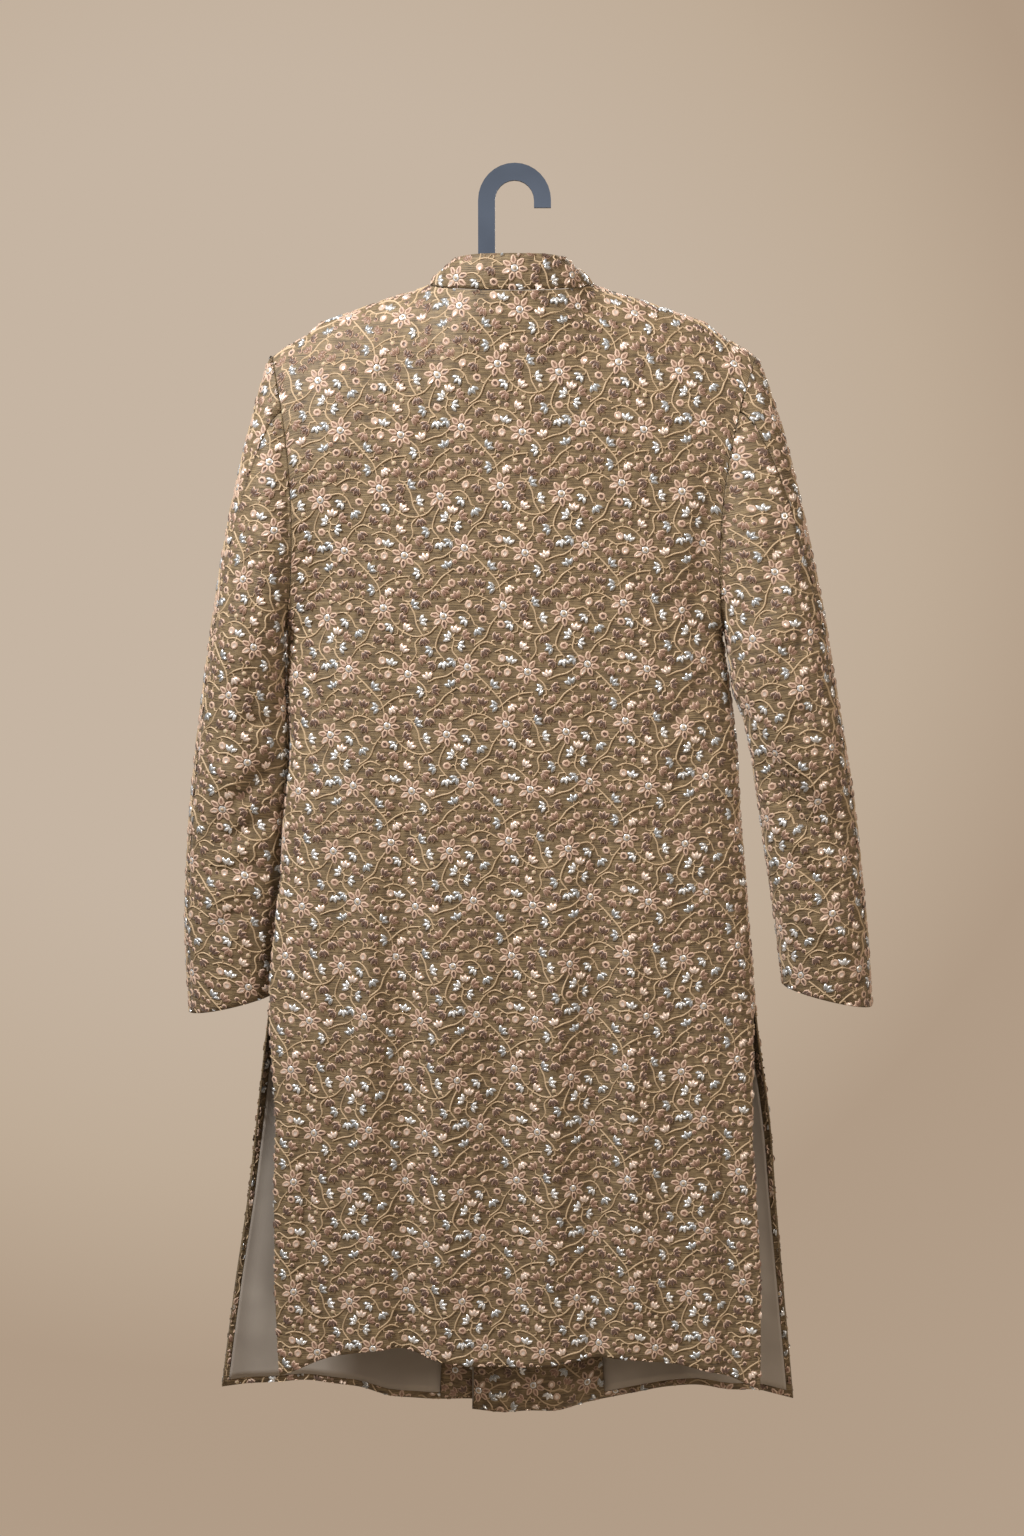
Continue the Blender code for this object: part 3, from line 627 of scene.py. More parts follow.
def lay_sleeve(points, side, piece):
    """Round and along a sleeve, whose grain runs straight down its arm."""
    rows = SLEEVES[side]
    lean = math.radians(SLEEVE_TILT[side])
    v = np.linspace(0, 1, 200)

    def turned(x, z):
        return x * math.cos(lean) + z * math.sin(lean), x * math.sin(lean) - z * math.cos(lean)

    outer, outer_down = turned(read(rows, "outer_x", v), read(rows, "outer_z", v))
    inner, inner_down = turned(read(rows, "inner_x", v), read(rows, "inner_z", v))
    across, down = turned(np.abs(points[..., 0]), points[..., 2])
    far, near = np.interp(down, outer_down, outer), np.interp(down, inner_down, inner)
    middle_down = (outer_down + inner_down) / 2
    depth = np.interp(down, middle_down, read(rows, "half_depth", v))
    y = points[..., 1] - np.interp(down, middle_down, read(rows, "y", v))
    turn = np.arctan2(y / depth, (across - (far + near) / 2) * 2 / (far - near))
    if piece == "under":
        turn = np.mod(turn, 2 * math.pi)
    return ((far - near) / 2 + depth) / 2 * turn, -down


def lay_round(points, anchor):
    """Round and up a band such as the collar."""
    across = running(np.linalg.norm(np.diff(points, axis=0), axis=-1), 0)
    up = running(np.linalg.norm(np.diff(points, axis=1), axis=-1), 1)
    column = round(anchor * (len(points) - 1))
    return across - across[column], up


def make_chart(surface, lay, outwards, inside=False):
    """A panel's surface with its flat lengths, right and up as the wanted face is looked at."""
    u, v = np.meshgrid(np.linspace(0, 1, CHART_COLUMNS), np.linspace(0, 1, CHART_ROWS), indexing="ij")
    right, up = lay(surface(u, v))
    i, j = CHART_COLUMNS // 2, CHART_ROWS // 2
    span = np.array([[right[i + 1, j] - right[i, j], right[i, j + 1] - right[i, j]],
                     [up[i + 1, j] - up[i, j], up[i, j + 1] - up[i, j]]])
    facing = np.sign(np.linalg.det(span)) * outwards * (-1 if inside else 1)
    return {"surface": surface, "outwards": outwards, "right": right * facing, "up": up,
            "inside": inside}


def look_up(grid, u, v):
    """A grid's values between its points."""
    x, y = np.clip(u, 0, 1) * (grid.shape[0] - 1), np.clip(v, 0, 1) * (grid.shape[1] - 1)
    i, j = np.minimum(x.astype(int), grid.shape[0] - 2), np.minimum(y.astype(int), grid.shape[1] - 2)
    x, y = x - i, y - j
    low = grid[i, j] * (1 - x) + grid[i + 1, j] * x
    return low * (1 - y) + (grid[i, j + 1] * (1 - x) + grid[i + 1, j + 1] * x) * y


def unrolled(chart, step=1.5):
    """u and v of a regular grid of flat lengths: rows are read across first, and then columns down."""
    right, up = chart["right"], chart["up"]
    us, vs = np.linspace(0, 1, CHART_COLUMNS), np.linspace(0, 1, CHART_ROWS)
    rights = np.arange(right.min(), right.max() + step, step)
    ups = np.arange(up.min(), up.max() + step, step)
    row_up = np.empty((len(rights), CHART_ROWS))
    row_u = np.empty_like(row_up)
    for j in range(CHART_ROWS):
        order = np.argsort(right[:, j])
        row_up[:, j] = np.interp(rights, right[order, j], up[order, j])
        row_u[:, j] = np.interp(rights, right[order, j], us[order])
    grid_u, grid_v = np.empty((2, len(rights), len(ups)))
    for k in range(len(rights)):
        order = np.argsort(row_up[k])
        grid_v[k] = np.interp(ups, row_up[k, order], vs[order])
        grid_u[k] = np.interp(ups, row_up[k, order], row_u[k, order])
    return {"u": grid_u, "v": grid_v, "rights": rights, "ups": ups}


def find_on(chart, flat_right, flat_up):
    """u and v of flat places, and whether each is on the panel."""
    grid = chart.setdefault("unrolled", unrolled(chart))
    a = (flat_right - grid["rights"][0]) / (grid["rights"][-1] - grid["rights"][0])
    b = (flat_up - grid["ups"][0]) / (grid["ups"][-1] - grid["ups"][0])
    u, v = look_up(grid["u"], a, b), look_up(grid["v"], a, b)
    miss = np.hypot(look_up(chart["right"], u, v) - flat_right, look_up(chart["up"], u, v) - flat_up)
    return u, v, miss < CLOSE_ENOUGH


# %% [markdown]
# ## Cloth as a thin shell
#
# A real panel is one thickness of cloth. It could be a plane with a Solidify modifier, but then its
# rims at the seams would lean into their neighbours. Here a flat slab is made by create_grid and an
# extrude. Its top takes the surface's points, and its underside the points one wall inside it.

# %% Shells
def hex_colour(code):
    """An sRGB hex colour as the linear colour that shaders use."""
    levels = [int(code[i:i + 2], 16) / 255 for i in (0, 2, 4)]
    return (*[c / 12.92 if c <= 0.04045 else ((c + 0.055) / 1.055) ** 2.4 for c in levels], 1.0)


def finished_mesh(bm, name):
    """A new mesh that takes over what a bmesh holds."""
    mesh = bpy.data.meshes.new(name)
    bm.to_mesh(mesh)
    bm.free()
    return mesh


def place(mesh, name, materials):
    """An object at the origin that rides on the coat."""
    made = add_object(name, mesh)
    for one in materials:
        mesh.materials.append(one)
    mesh.shade_smooth()
    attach(made, "root")
    return made


def without(axis, edge):
    """Takes one axis out of the normals where edge(u, v) holds, so a rim stands square to its seam."""

    def square_off(normal, u, v):
        kept = normal.copy()
        kept[edge(u, v), axis] = 0
        return unit(kept)

    return square_off


def shell(name, chart, us, vs, wall, materials, square_off=None, turned_in=None):
    """A panel with a wall. Its underside takes the second material except where turned_in(u, v)."""
    bm = bmesh.new()
    bmesh.ops.create_grid(bm, x_segments=len(us) - 1, y_segments=len(vs) - 1, size=0.5)
    under = bmesh.ops.extrude_face_region(bm, geom=bm.faces[:], use_keep_orig=True)["geom"]
    bmesh.ops.translate(bm, verts=[g for g in under if isinstance(g, bmesh.types.BMVert)], vec=(0, 0, -1))
    bmesh.ops.recalc_face_normals(bm, faces=bm.faces)
    i = np.array([round((v.co.x + 0.5) * (len(us) - 1)) for v in bm.verts])
    j = np.array([round((v.co.y + 0.5) * (len(vs) - 1)) for v in bm.verts])
    depth = np.array([-v.co.z for v in bm.verts])
    u, v = np.asarray(us)[i], np.asarray(vs)[j]
    normal = normals(chart["surface"], u, v, chart["outwards"])
    if square_off:
        normal = square_off(normal, u, v)
    points = (chart["surface"](u, v) - normal * (depth * wall)[:, None]) * MM
    right, up = look_up(chart["right"], u, v) * MM, look_up(chart["up"], u, v) * MM
    for vert, point in zip(bm.verts, points):
        vert.co = point
    if len(materials) > 1:
        inner = depth > 0.5
        folded = turned_in(u, v) if turned_in else np.zeros(len(u), bool)
        for face in bm.faces:
            ring = [vert.index for vert in face.verts]
            face.material_index = int(inner[ring].all() and not folded[ring].all())
    flat = bm.loops.layers.uv.new("flat")
    for face in bm.faces:
        for loop in face.loops:
            loop[flat].uv = (right[loop.vert.index], up[loop.vert.index])
    if chart["outwards"] < 0:
        bmesh.ops.reverse_faces(bm, faces=bm.faces)
    mesh = finished_mesh(bm, name)
    made = place(mesh, name, materials)
    print(name, len(mesh.polygons), "faces")
    return made


# %% [markdown]
# ## Materials
#
# The ground is raw silk: short thick slubs run across it, and it is duller than smooth silk. Its puckers are
# bumped, and they are also painted darker as painted shade. The embroidery is matt cord, dull rose floss,
# and thin metal thread that glints, partly by its metal and partly by painted glints in its pale colour.
# Each is named for what it is.

# %% Node helper
def new_material(name, colour, roughness, metallic=0.0, **sockets):
    """A material whose constant values sit on the shader's own sockets."""
    made = bpy.data.materials.new(name)
    made.use_nodes = True
    shader = made.node_tree.nodes["Principled BSDF"]
    values = {"Base Color": hex_colour(colour), "Roughness": roughness, "Metallic": metallic, **sockets}
    for socket, value in values.items():
        shader.inputs[socket].default_value = value
    return made


def add_node(material, kind, settings, values, links, stops=()):
    """Adds a node with its settings and values, and links it: socket name to (node, output name).
    A Color Ramp's stops are (position, hex colour)."""
    node = material.node_tree.nodes.new(kind)
    for setting, value in settings.items():
        setattr(node, setting, value)
    for socket, value in values.items():
        node.inputs[socket].default_value = value
    for socket, (source, output) in links.items():
        material.node_tree.links.new(source.outputs[output], node.inputs[socket])
    for _ in stops[2:]:
        node.color_ramp.elements.new(0.5)
    for k, (position, colour) in enumerate(stops):
        node.color_ramp.elements[k].position = position
        node.color_ramp.elements[k].color = hex_colour(colour)
    return node


def into_shader(material, colour, bump):
    """Sends a ramp's colour and a bump to a material's shader."""
    shader = material.node_tree.nodes["Principled BSDF"]
    material.node_tree.links.new(colour.outputs["Color"], shader.inputs["Base Color"])
    material.node_tree.links.new(bump.outputs["Normal"], shader.inputs["Normal"])


# %% Raw silk
SLUB_MM = 1.1  # thickness of a slub; real ones are 0.6 to 1.2 mm
SLUB_LENGTH_MM = 22.0
# The noise for the puckers both bumps the silk and darkens its colour as painted shade.
PUCKERS_AND_PAINTED_SHADE_PER_M = 130.0  # stitches pull the silk into a pucker about every 8 mm


def raw_silk(name, dark, middle, light):
    """Hand-reeled silk in plain weave. Its uneven wefts make fine lines across the cloth, and its puckers
    carry painted shade.
    """
    made = new_material(name, middle, 0.62, **{"Sheen Weight": 0.12, "Sheen Roughness": 0.5})
    where = add_node(made, "ShaderNodeUVMap", {"uv_map": "flat"}, {}, {})
    stretch = add_node(made, "ShaderNodeMapping", {},
                       {"Scale": (1 / (SLUB_LENGTH_MM * MM), 1 / (SLUB_MM * MM), 1)},
                       {"Vector": (where, "UV")})
    slubs = add_node(made, "ShaderNodeTexNoise", {}, {"Scale": 1.0, "Detail": 3.0, "Roughness": 0.6},
                     {"Vector": (stretch, "Vector")})
    puckers_and_painted_shade = add_node(made, "ShaderNodeTexNoise", {}, {"Scale": PUCKERS_AND_PAINTED_SHADE_PER_M, "Detail": 2.0},
                      {"Vector": (where, "UV")})
    # The puckers' noise darkens the ramp's colour as painted shade, and together with the slubs it also
    # drives the bump.
    mixed = add_node(made, "ShaderNodeMath", {"operation": "MULTIPLY_ADD"}, {1: 0.45},
                     {0: (puckers_and_painted_shade, "Fac"), 2: (slubs, "Fac")})
    colour = add_node(made, "ShaderNodeValToRGB", {}, {}, {"Fac": (mixed, "Value")},
                      [(0.50, dark), (0.70, middle), (0.92, light)])
    bump = add_node(made, "ShaderNodeBump", {}, {"Strength": 0.55, "Distance": 0.0012},
                    {"Height": (mixed, "Value")})
    into_shader(made, colour, bump)
    return made


silk = raw_silk("raw silk, olive brown", "3c3022", "695940", "907e5f")
print("raw silk has slubs", SLUB_MM, "mm thick")


# %% Satin lining
# The satin's pools of light and shade are painted into its colour by this noise.
PAINTED_LIGHT_POOLS_PER_M = 9.0  # light pools about every 110 mm on hanging satin
FLOATS_PER_M = 900.0  # drawn at 1.1 mm; the real floats are finer than would show


def satin_lining(name, shade, light):
    """Soft satin weave, smooth to the eye, with a faint cloudy sheen painted into its colour as pools of
    light and shade.
    """
    made = new_material(name, light, 0.42, **{"Sheen Weight": 0.2})
    where = add_node(made, "ShaderNodeUVMap", {"uv_map": "flat"}, {}, {})
    painted_light_pools = add_node(made, "ShaderNodeTexNoise", {}, {"Scale": PAINTED_LIGHT_POOLS_PER_M, "Detail": 3.0},
                      {"Vector": (where, "UV")})
    colour = add_node(made, "ShaderNodeValToRGB", {}, {}, {"Fac": (painted_light_pools, "Fac")},
                      [(0.35, shade), (0.65, light)])
    weave = add_node(made, "ShaderNodeTexNoise", {}, {"Scale": FLOATS_PER_M}, {"Vector": (where, "UV")})
    bump = add_node(made, "ShaderNodeBump", {}, {"Strength": 0.15, "Distance": 0.0004},
                    {"Height": (weave, "Fac")})
    into_shader(made, colour, bump)
    return made


lining_satin = satin_lining("viscose satin, pearl grey", "928b84", "aaa49c")

# %% Threads
# Twisted cord is matt. Floss is softer and darker. Metal thread is wound foil, so it is metallic. The rose
# gold and pale silver are also near white and only partly metallic, which paints glints on them that stay
# bright under any light.
THREADS = {
    "cord": new_material("twisted cotton cord, olive beige", "bba587", 0.6, **{"Sheen Weight": 0.2}),
    "pale cord": new_material("twisted cotton cord, pink beige", "c4aa97", 0.55, **{"Sheen Weight": 0.2}),
    "rose": new_material("silk floss, rose brown", "866a5a", 0.45, **{"Sheen Weight": 0.3}),
    "dark rose": new_material("silk floss, dark rose", "5c473d", 0.45, **{"Sheen Weight": 0.3}),
    "rose gold": new_material("wound metal thread, rose gold, painted glints", "f2e6de", 0.34, 0.55),
    "silver": new_material("wound metal thread, pale silver, painted glints", "e6ebf0", 0.3, 0.6),
    "dull silver": new_material("wound metal thread, blue grey", "a3a9ae", 0.38, 0.5),
    "straw": new_material("silk floss, straw", "b3a688", 0.5, **{"Sheen Weight": 0.3}),
}
THREAD_NAMES = list(THREADS)
print("threads:", ", ".join(THREAD_NAMES))

# %% [markdown]
# ## One repeat of the embroidery
#
# The embroiderer's pattern repeats every 116 mm across and 114.5 mm up. It could be painted as a
# texture, but real cord stands up from the cloth and casts its own shadows, so it is modelled: petals
# are circles that are inset twice, and vines are curves with a small ridge as their bevel.

# %% Motifs
REPEAT = (116.0, 114.5)
CORD = 1.65  # width of the vines' cord, in millimetres


def lobe(length, width, rim, sides, lift, fill, outline="pale cord", point=0.25):
    """A petal or leaf lobe from its base at the origin: a corded outline round a filled middle."""
    bm = bmesh.new()
    bmesh.ops.create_circle(bm, cap_ends=True, segments=sides, radius=0.5)
    for vert in bm.verts:
        up = vert.co.y + 0.5
        vert.co = (vert.co.x * width * (1.12 - point * up * up * 1.6), up * length, 0)
    middle = bm.faces[:]
    middle[0].material_index = THREAD_NAMES.index(outline)
    bmesh.ops.inset_individual(bm, faces=middle, thickness=rim, depth=lift)
    if sides > 6:
        bmesh.ops.inset_individual(bm, faces=middle, thickness=rim * 0.7, depth=-lift * 0.55)
    middle[0].material_index = THREAD_NAMES.index(fill)
    poked = bmesh.ops.poke(bm, faces=middle)
    bmesh.ops.translate(bm, verts=poked["verts"], vec=(0, 0, lift * 0.4))
    return finished_mesh(bm, "lobe")


def ring(radius, sides, lift, outline, fill):
    """A round stitched ring with a filled middle."""
    bm = bmesh.new()
    bmesh.ops.create_circle(bm, cap_ends=True, segments=sides, radius=radius)
    middle = bm.faces[:]
    middle[0].material_index = THREAD_NAMES.index(outline)
    bmesh.ops.inset_individual(bm, faces=middle, thickness=radius * 0.3, depth=lift)
    if sides > 6:
        bmesh.ops.inset_individual(bm, faces=middle, thickness=radius * 0.25, depth=-lift * 0.6)
    middle[0].material_index = THREAD_NAMES.index(fill)
    return finished_mesh(bm, "ring")


def stamp(bm, mesh, at, turn, height=0.0):
    """Puts a copy of a motif's mesh on the repeat."""
    count = len(bm.verts)
    bm.from_mesh(mesh)
    bm.verts.ensure_lookup_table()
    new = bm.verts[count:]
    spun = Euler((0, 0, turn)).to_matrix()
    bmesh.ops.rotate(bm, verts=new, cent=(0, 0, 0), matrix=spun)
    bmesh.ops.translate(bm, verts=new, vec=(at[0], at[1], height))


# %% Where the flowers and vines lie
# Places are millimetres right and up from one flower of the repeat.
FLOWERS = [((0, 0), 0.1), ((58, -9), 0.55), ((22, 50), 0.3), ((80, 56), 0.8)]
PETALS = 7
FLOWER_REACH = 12.0
VINES = [
    [(6, -9), (14, -20), (28, -28), (43, -26), (52, -18)],
    [(-2, 11), (-5, 23), (-13, 33), (-21, 42), (-28, 49)],
    [(-4, 18), (5, 25), (15, 29), (27, 30)],
    [(-11, 3), (-21, 9), (-31, 10), (-42, 4)],
    [(-6, -10), (-13, -19), (-18, -30), (-29, -38)],
    [(57, -20), (52, -30), (50, -40), (56, -49)],
    [(68, -5), (77, -4), (84, -9), (88, -18)],
    [(69, 54), (60, 48), (51, 46), (41, 42)],
    [(66, 34), (57, 28), (50, 19), (40, 13)],
    [(38, -28), (32, -17), (30, -6), (24, 5)],
    [(31, 44), (38, 37), (40, 28)],
    [(19, 61), (11, 69), (0, 73), (-9, 70)],
    [(83, 67), (90, 76), (99, 80), (108, 76)],
    [(12, 53), (3, 57), (-6, 56), (-14, 61)],
    [(25, 61), (31, 70), (30, 80), (38, 88)],
    [(72, 64), (66, 72), (68, 82)],
]
SMALL_MOTIFS = (["bud"] * 18 + ["leaf"] * 10 + ["berry"] * 9 + ["bud"] * 10 + ["leaf"] * 5 + ["bead"] * 20)
MOTIF_REACH = {"bud": 4.8, "leaf": 4.6, "berry": 4.0, "bead": 2.4}
TRIES = 260  # places tried for each small motif
LONGEST_TWIG = 17


def curved(points, steps):
    """Points along a smooth curve through a few places, closer than the places themselves."""
    places = np.array(points, float)
    before = np.vstack([2 * places[0] - places[1], places, 2 * places[-1] - places[-2]])
    found = []
    for a, b, c, d in zip(before, before[1:], before[2:], before[3:]):
        for t in np.linspace(0, 1, steps, endpoint=False):
            found.append(0.5 * (2 * b + (c - a) * t + (2 * a - 5 * b + 4 * c - d) * t**2
                                + (3 * b - a - 3 * c + d) * t**3))
    return np.array([*found, places[-1]])


def nearest(places, reach, at):
    """The nearest of some places in the endless repeat: how far its rim is, and the way to it."""
    way = (places - at + np.array(REPEAT) / 2) % REPEAT - np.array(REPEAT) / 2
    clear = np.hypot(way[:, 0], way[:, 1]) - reach
    found = int(np.argmin(clear))
    return clear[found], way[found]


def spread_motifs():
    """Puts every small motif in the widest gap that is left, with a twig to the vine beside it."""
    random = np.random.default_rng(11)
    vines = [curved(vine, 5) for vine in VINES]
    stems = np.vstack(vines)
    places = np.vstack([stems, [at for at, _ in FLOWERS]])
    reach = np.array([0.9] * len(stems) + [FLOWER_REACH] * len(FLOWERS))
    motifs, twigs = [], []
    for kind in SMALL_MOTIFS:
        tries = random.random((TRIES, 2)) * REPEAT
        gaps = [nearest(places, reach + MOTIF_REACH[kind], at)[0] for at in tries]
        at = tries[int(np.argmax(gaps))]
        _, way = nearest(stems, 0, at)
        long = np.hypot(*way)
        base = at + way / long * MOTIF_REACH[kind] * 0.8
        side = np.array([-way[1], way[0]]) * random.choice((-0.22, 0.22))
        motifs.append((kind, at, math.atan2(way[0], -way[1]), random.random()))
        if long < LONGEST_TWIG:
            twigs.append([base, base + (way - (base - at)) / 2 + side, at + way])
        places = np.vstack([places, at])
        reach = np.append(reach, MOTIF_REACH[kind])
    return vines, motifs, twigs


vines, motifs, twigs = spread_motifs()
stems = len(vines) + len(twigs)
print("one repeat has", len(FLOWERS), "flowers,", len(motifs), "small motifs and", stems, "stems")


# %% Stems
def cord_curve(lines, width, steps):
    """Vines and twigs as curves that carry a low ridge, thinner at each tip, made into one mesh."""
    ridge = bpy.data.curves.new("ridge", "CURVE")
    ridge.dimensions = "2D"
    profile = ridge.splines.new("POLY")
    profile.points.add(2)
    for point, (x, y) in zip(profile.points, ((-0.5, -0.15), (0.0, 0.7), (0.5, -0.15))):
        point.co = (x * width, y * width, 0, 1)
    ridge_object = add_object("ridge", ridge)
    curve = bpy.data.curves.new("stems", "CURVE")
    curve.dimensions = "3D"
    curve.bevel_mode = "OBJECT"
    curve.bevel_object = ridge_object
    for line in lines:
        places = curved(line, steps) if steps else line
        spline = curve.splines.new("POLY")
        spline.points.add(len(places) - 1)
        for k, (point, (x, y)) in enumerate(zip(spline.points, places)):
            point.co = (x, y, 0, 1)
            point.radius = 0.75 + 0.35 * math.sin(math.pi * (0.15 + 0.7 * k / len(places)))
    made = add_object("stems", curve)
    mesh = bpy.data.meshes.new_from_object(made.evaluated_get(bpy.context.evaluated_depsgraph_get()))
    for spent in (made, ridge_object):
        bpy.data.objects.remove(spent)
    return mesh


# %% Sewing the repeat together
def make_repeat():
    """One repeat of the embroidery, flat, in millimetres, as a mesh with a material for each thread."""
    bm = bmesh.new()
    bm.from_mesh(cord_curve(VINES, CORD, 3))
    bm.from_mesh(cord_curve(twigs, CORD * 0.9, 0))
    petals = [lobe(9.6, 6.0, 1.0, 7, 1.2, fill) for fill in ("rose", "dark rose", "rose gold")]
    eye = ring(3.6, 8, 0.9, "silver", "dull silver")
    heart = ring(1.9, 6, 0.8, "pale cord", "straw")
    order = (0, 0, 2, 1, 0, 1, 0)
    for (x, y), turn in FLOWERS:
        for k in range(PETALS):
            angle = turn + 2 * math.pi * k / PETALS
            at = (x - math.sin(angle) * 3.4, y + math.cos(angle) * 3.4)
            stamp(bm, petals[order[k]], at, angle)
        stamp(bm, eye, (x, y), turn, 0.15)
        stamp(bm, heart, (x, y), turn, 0.7)
    lobes = {
        "bud": [lobe(8.8, 4.9, 0.8, 5, 1.2, fill) for fill in ("rose gold", "rose", "dark rose")],
        "leaf": [lobe(8.2, 4.2, 0.6, 5, 1.1, fill, outline) for fill, outline in
                 (("silver", "dull silver"), ("dull silver", "silver"), ("silver", "silver"))],
        "berry": [lobe(8.6, 7.2, 1.2, 7, 1.2, fill, point=0.1)
                  for fill in ("rose", "dark rose", "rose gold")],
        "bead": [ring(2.5, 6, 1.0, "pale cord", fill) for fill in ("dark rose", "straw", "rose")],
    }
    fans = {"bud": (-0.62, 0.62, 0.0), "leaf": (-0.8, 0.8, 0.0), "berry": (0.0,), "bead": (0.0,)}
    for kind, at, turn, chance in motifs:
        pick = lobes[kind][int(chance * 3)]
        start = 0.0 if kind == "bead" else -MOTIF_REACH[kind] * 0.85
        base = (at[0] - math.sin(turn) * start, at[1] + math.cos(turn) * start)
        for k, spread in enumerate(fans[kind]):
            stamp(bm, pick, base, turn + spread, 0.12 * k)
    return finished_mesh(bm, "repeat")


repeat = make_repeat()
print("one repeat has", sum(len(p.vertices) - 2 for p in repeat.polygons), "triangles")

# %% [markdown]
# ## Wrapping the embroidery round a panel
#
# Copies of the repeat are laid side by side by two Array modifiers, turned a little as the cloth was
# cut, and looked up on the panel's chart. Each point then moves to its place on the cloth, and out by
# its height. Stitches that fall outside the panel's seams are cut away, as scissors cut the real cloth.

# %% Embroidery
GRAIN_TURN = math.radians(1.3)
MARGIN = 20  # stitches laid past the edge of a panel before they are cut, in millimetres


def embroider(name, chart, shift, keep=None, depth=0.0):
    """The embroidery on one face of a panel. keep(u, v) limits it to a part of the panel."""
    right, up = chart["right"], chart["up"]
    low = np.array([right.min(), up.min()]) - MARGIN
    high = np.array([right.max(), up.max()]) + MARGIN
    first = np.floor((low - shift) / REPEAT).astype(int)
    count = np.ceil((high - low) / REPEAT).astype(int) + 1
    sheet = add_object("sheet", repeat)
    for axis in (0, 1):
        row = sheet.modifiers.new("row", "ARRAY")
        row.count = int(count[axis])
        row.use_relative_offset = False
        row.use_constant_offset = True
        row.constant_offset_displace = [REPEAT[axis] if k == axis else 0 for k in range(3)]
    mesh = bpy.data.meshes.new_from_object(sheet.evaluated_get(bpy.context.evaluated_depsgraph_get()))
    bpy.data.objects.remove(sheet)
    mesh.name = name
    flat = np.empty(len(mesh.vertices) * 3)
    mesh.vertices.foreach_get("co", flat)
    x, y, height = flat.reshape(-1, 3).T
    x, y = x + first[0] * REPEAT[0], y + first[1] * REPEAT[1]
    c, s = math.cos(GRAIN_TURN), math.sin(GRAIN_TURN)
    u, v, on = find_on(chart, x * c - y * s + shift[0], x * s + y * c + shift[1])
    if keep is not None:
        on &= keep(u, v)
    out = -1.0 if chart["inside"] else 1.0
    normal = normals(chart["surface"], u, v, chart["outwards"])
    points = chart["surface"](u, v) + normal * (out * height - depth)[:, None]
    mesh.vertices.foreach_set("co", (points * MM).ravel())
    bm = bmesh.new()
    bm.from_mesh(mesh)
    bm.verts.ensure_lookup_table()
    gone = [bm.verts[k] for k in np.flatnonzero(~on)]
    bmesh.ops.delete(bm, geom=gone, context="VERTS")
    bm.to_mesh(mesh)
    bm.free()
    made = place(mesh, name, [THREADS[thread] for thread in THREAD_NAMES])
    print(name, sum(len(p.vertices) - 2 for p in mesh.polygons), "triangles")
    return made


# %% [markdown]
# ## The back
#
# The back is one piece with no seam down its middle. It hangs from the shoulders, with two long soft
# troughs, and is open at both side vents. Its rows of points crowd together beside the armholes.

# %% Rows and columns
BAND = TURNING / SKIRT_WIDTH
BACK_BAND = BAND * 1.4  # the back's skirt is narrower, so its turning is a larger share
VENT_TOP = 0.66
BESIDE_ARM = 0.6 * ARMHOLE_SHARE


def hem_row(turning):
    """The length parameter where cloth that is turned in by this much at the hem starts its fold."""
    return 1 - turning / (UNDERARM_Z - HEM_LEVEL) * (1 - ARMHOLE_SHARE)


def rows_for(beside, below, band=True):
    """Length parameters of a body panel: even steps of the armhole's angle, then even heights."""
    rows = [np.linspace(0, ARMHOLE_SHARE, beside + 1)[:-1], np.linspace(ARMHOLE_SHARE, 1, below + 1)]
    return np.sort(np.concatenate([*rows, [hem_row(TURNING)]])) if band else np.concatenate(rows)


def panel_chart(side=None, inside=False):
    """The chart of the back, or of a side's front."""
    if side is None:
        return make_chart(back_surface, lambda points: lay_hanging(points, 0.5), 1, inside)
    return make_chart(front_surface(side), lambda points: lay_hanging(points, 0.0), FRONT_OUTWARDS[side],
                      inside)


def flat_size(chart):
    """Width and length of the cloth a panel is cut from, and the area of the cut, in metres."""
    u, v = np.meshgrid(np.linspace(0, 1, 61), np.linspace(0, 1, 121), indexing="ij")
    right, up = look_up(chart["right"], u, v) * MM, look_up(chart["up"], u, v) * MM
    a = np.stack([right[1:, 1:] - right[:-1, :-1], up[1:, 1:] - up[:-1, :-1]])
    b = np.stack([right[:-1, 1:] - right[1:, :-1], up[:-1, 1:] - up[1:, :-1]])
    area = np.abs(a[0] * b[1] - a[1] * b[0]).sum() / 2
    return (float(np.ptp(right)), float(np.ptp(up))), float(area)


cuts = {}


def declare(cloth, chart):
    """States the flat size that a panel was cut to, worked out from its chart."""
    (width, length), area = flat_size(chart)
    cuts[cloth.name] = (round(width, 3), round(length, 3), round(area, 4))


# %% Back
def in_band(u, v):
    """Where the back's cloth is folded in at its vents and hem."""
    across = np.sin(math.pi / 2 * np.abs(2 * u - 1))
    return (v > hem_row(TURNING) - 1e-4) | ((across > 1 - BACK_BAND - 1e-4) & (v > VENT_TOP))


back_chart = panel_chart()
half = np.concatenate([np.sin(np.linspace(1.24, math.pi / 2, 7)), [1 - BACK_BAND]])
columns = np.sort(np.concatenate([np.linspace(-0.94, 0.94, 73), half, -half]))
back_us = (np.arcsin(columns) / (math.pi / 2) + 1) / 2
beside_arm = without(0, lambda u, v: (np.abs(2 * u - 1) > 0.999) & (v < BESIDE_ARM))
back = shell("back_cloth", back_chart, back_us, rows_for(26, 96), CLOTH, [silk, lining_satin],
             beside_arm, in_band)
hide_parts("back")
back_stitches = embroider("back_embroidery", back_chart, (-16.0, -176.0))
declare(back, back_chart)

# %% [markdown]
# ## The fronts
#
# The wearer's left front closes over the right one. Each has an embroidered facing beside its front
# edge and a satin lining from there to the side, with a narrow band of the coat's own cloth turned in
# round it. The vents and the short back let both be seen.

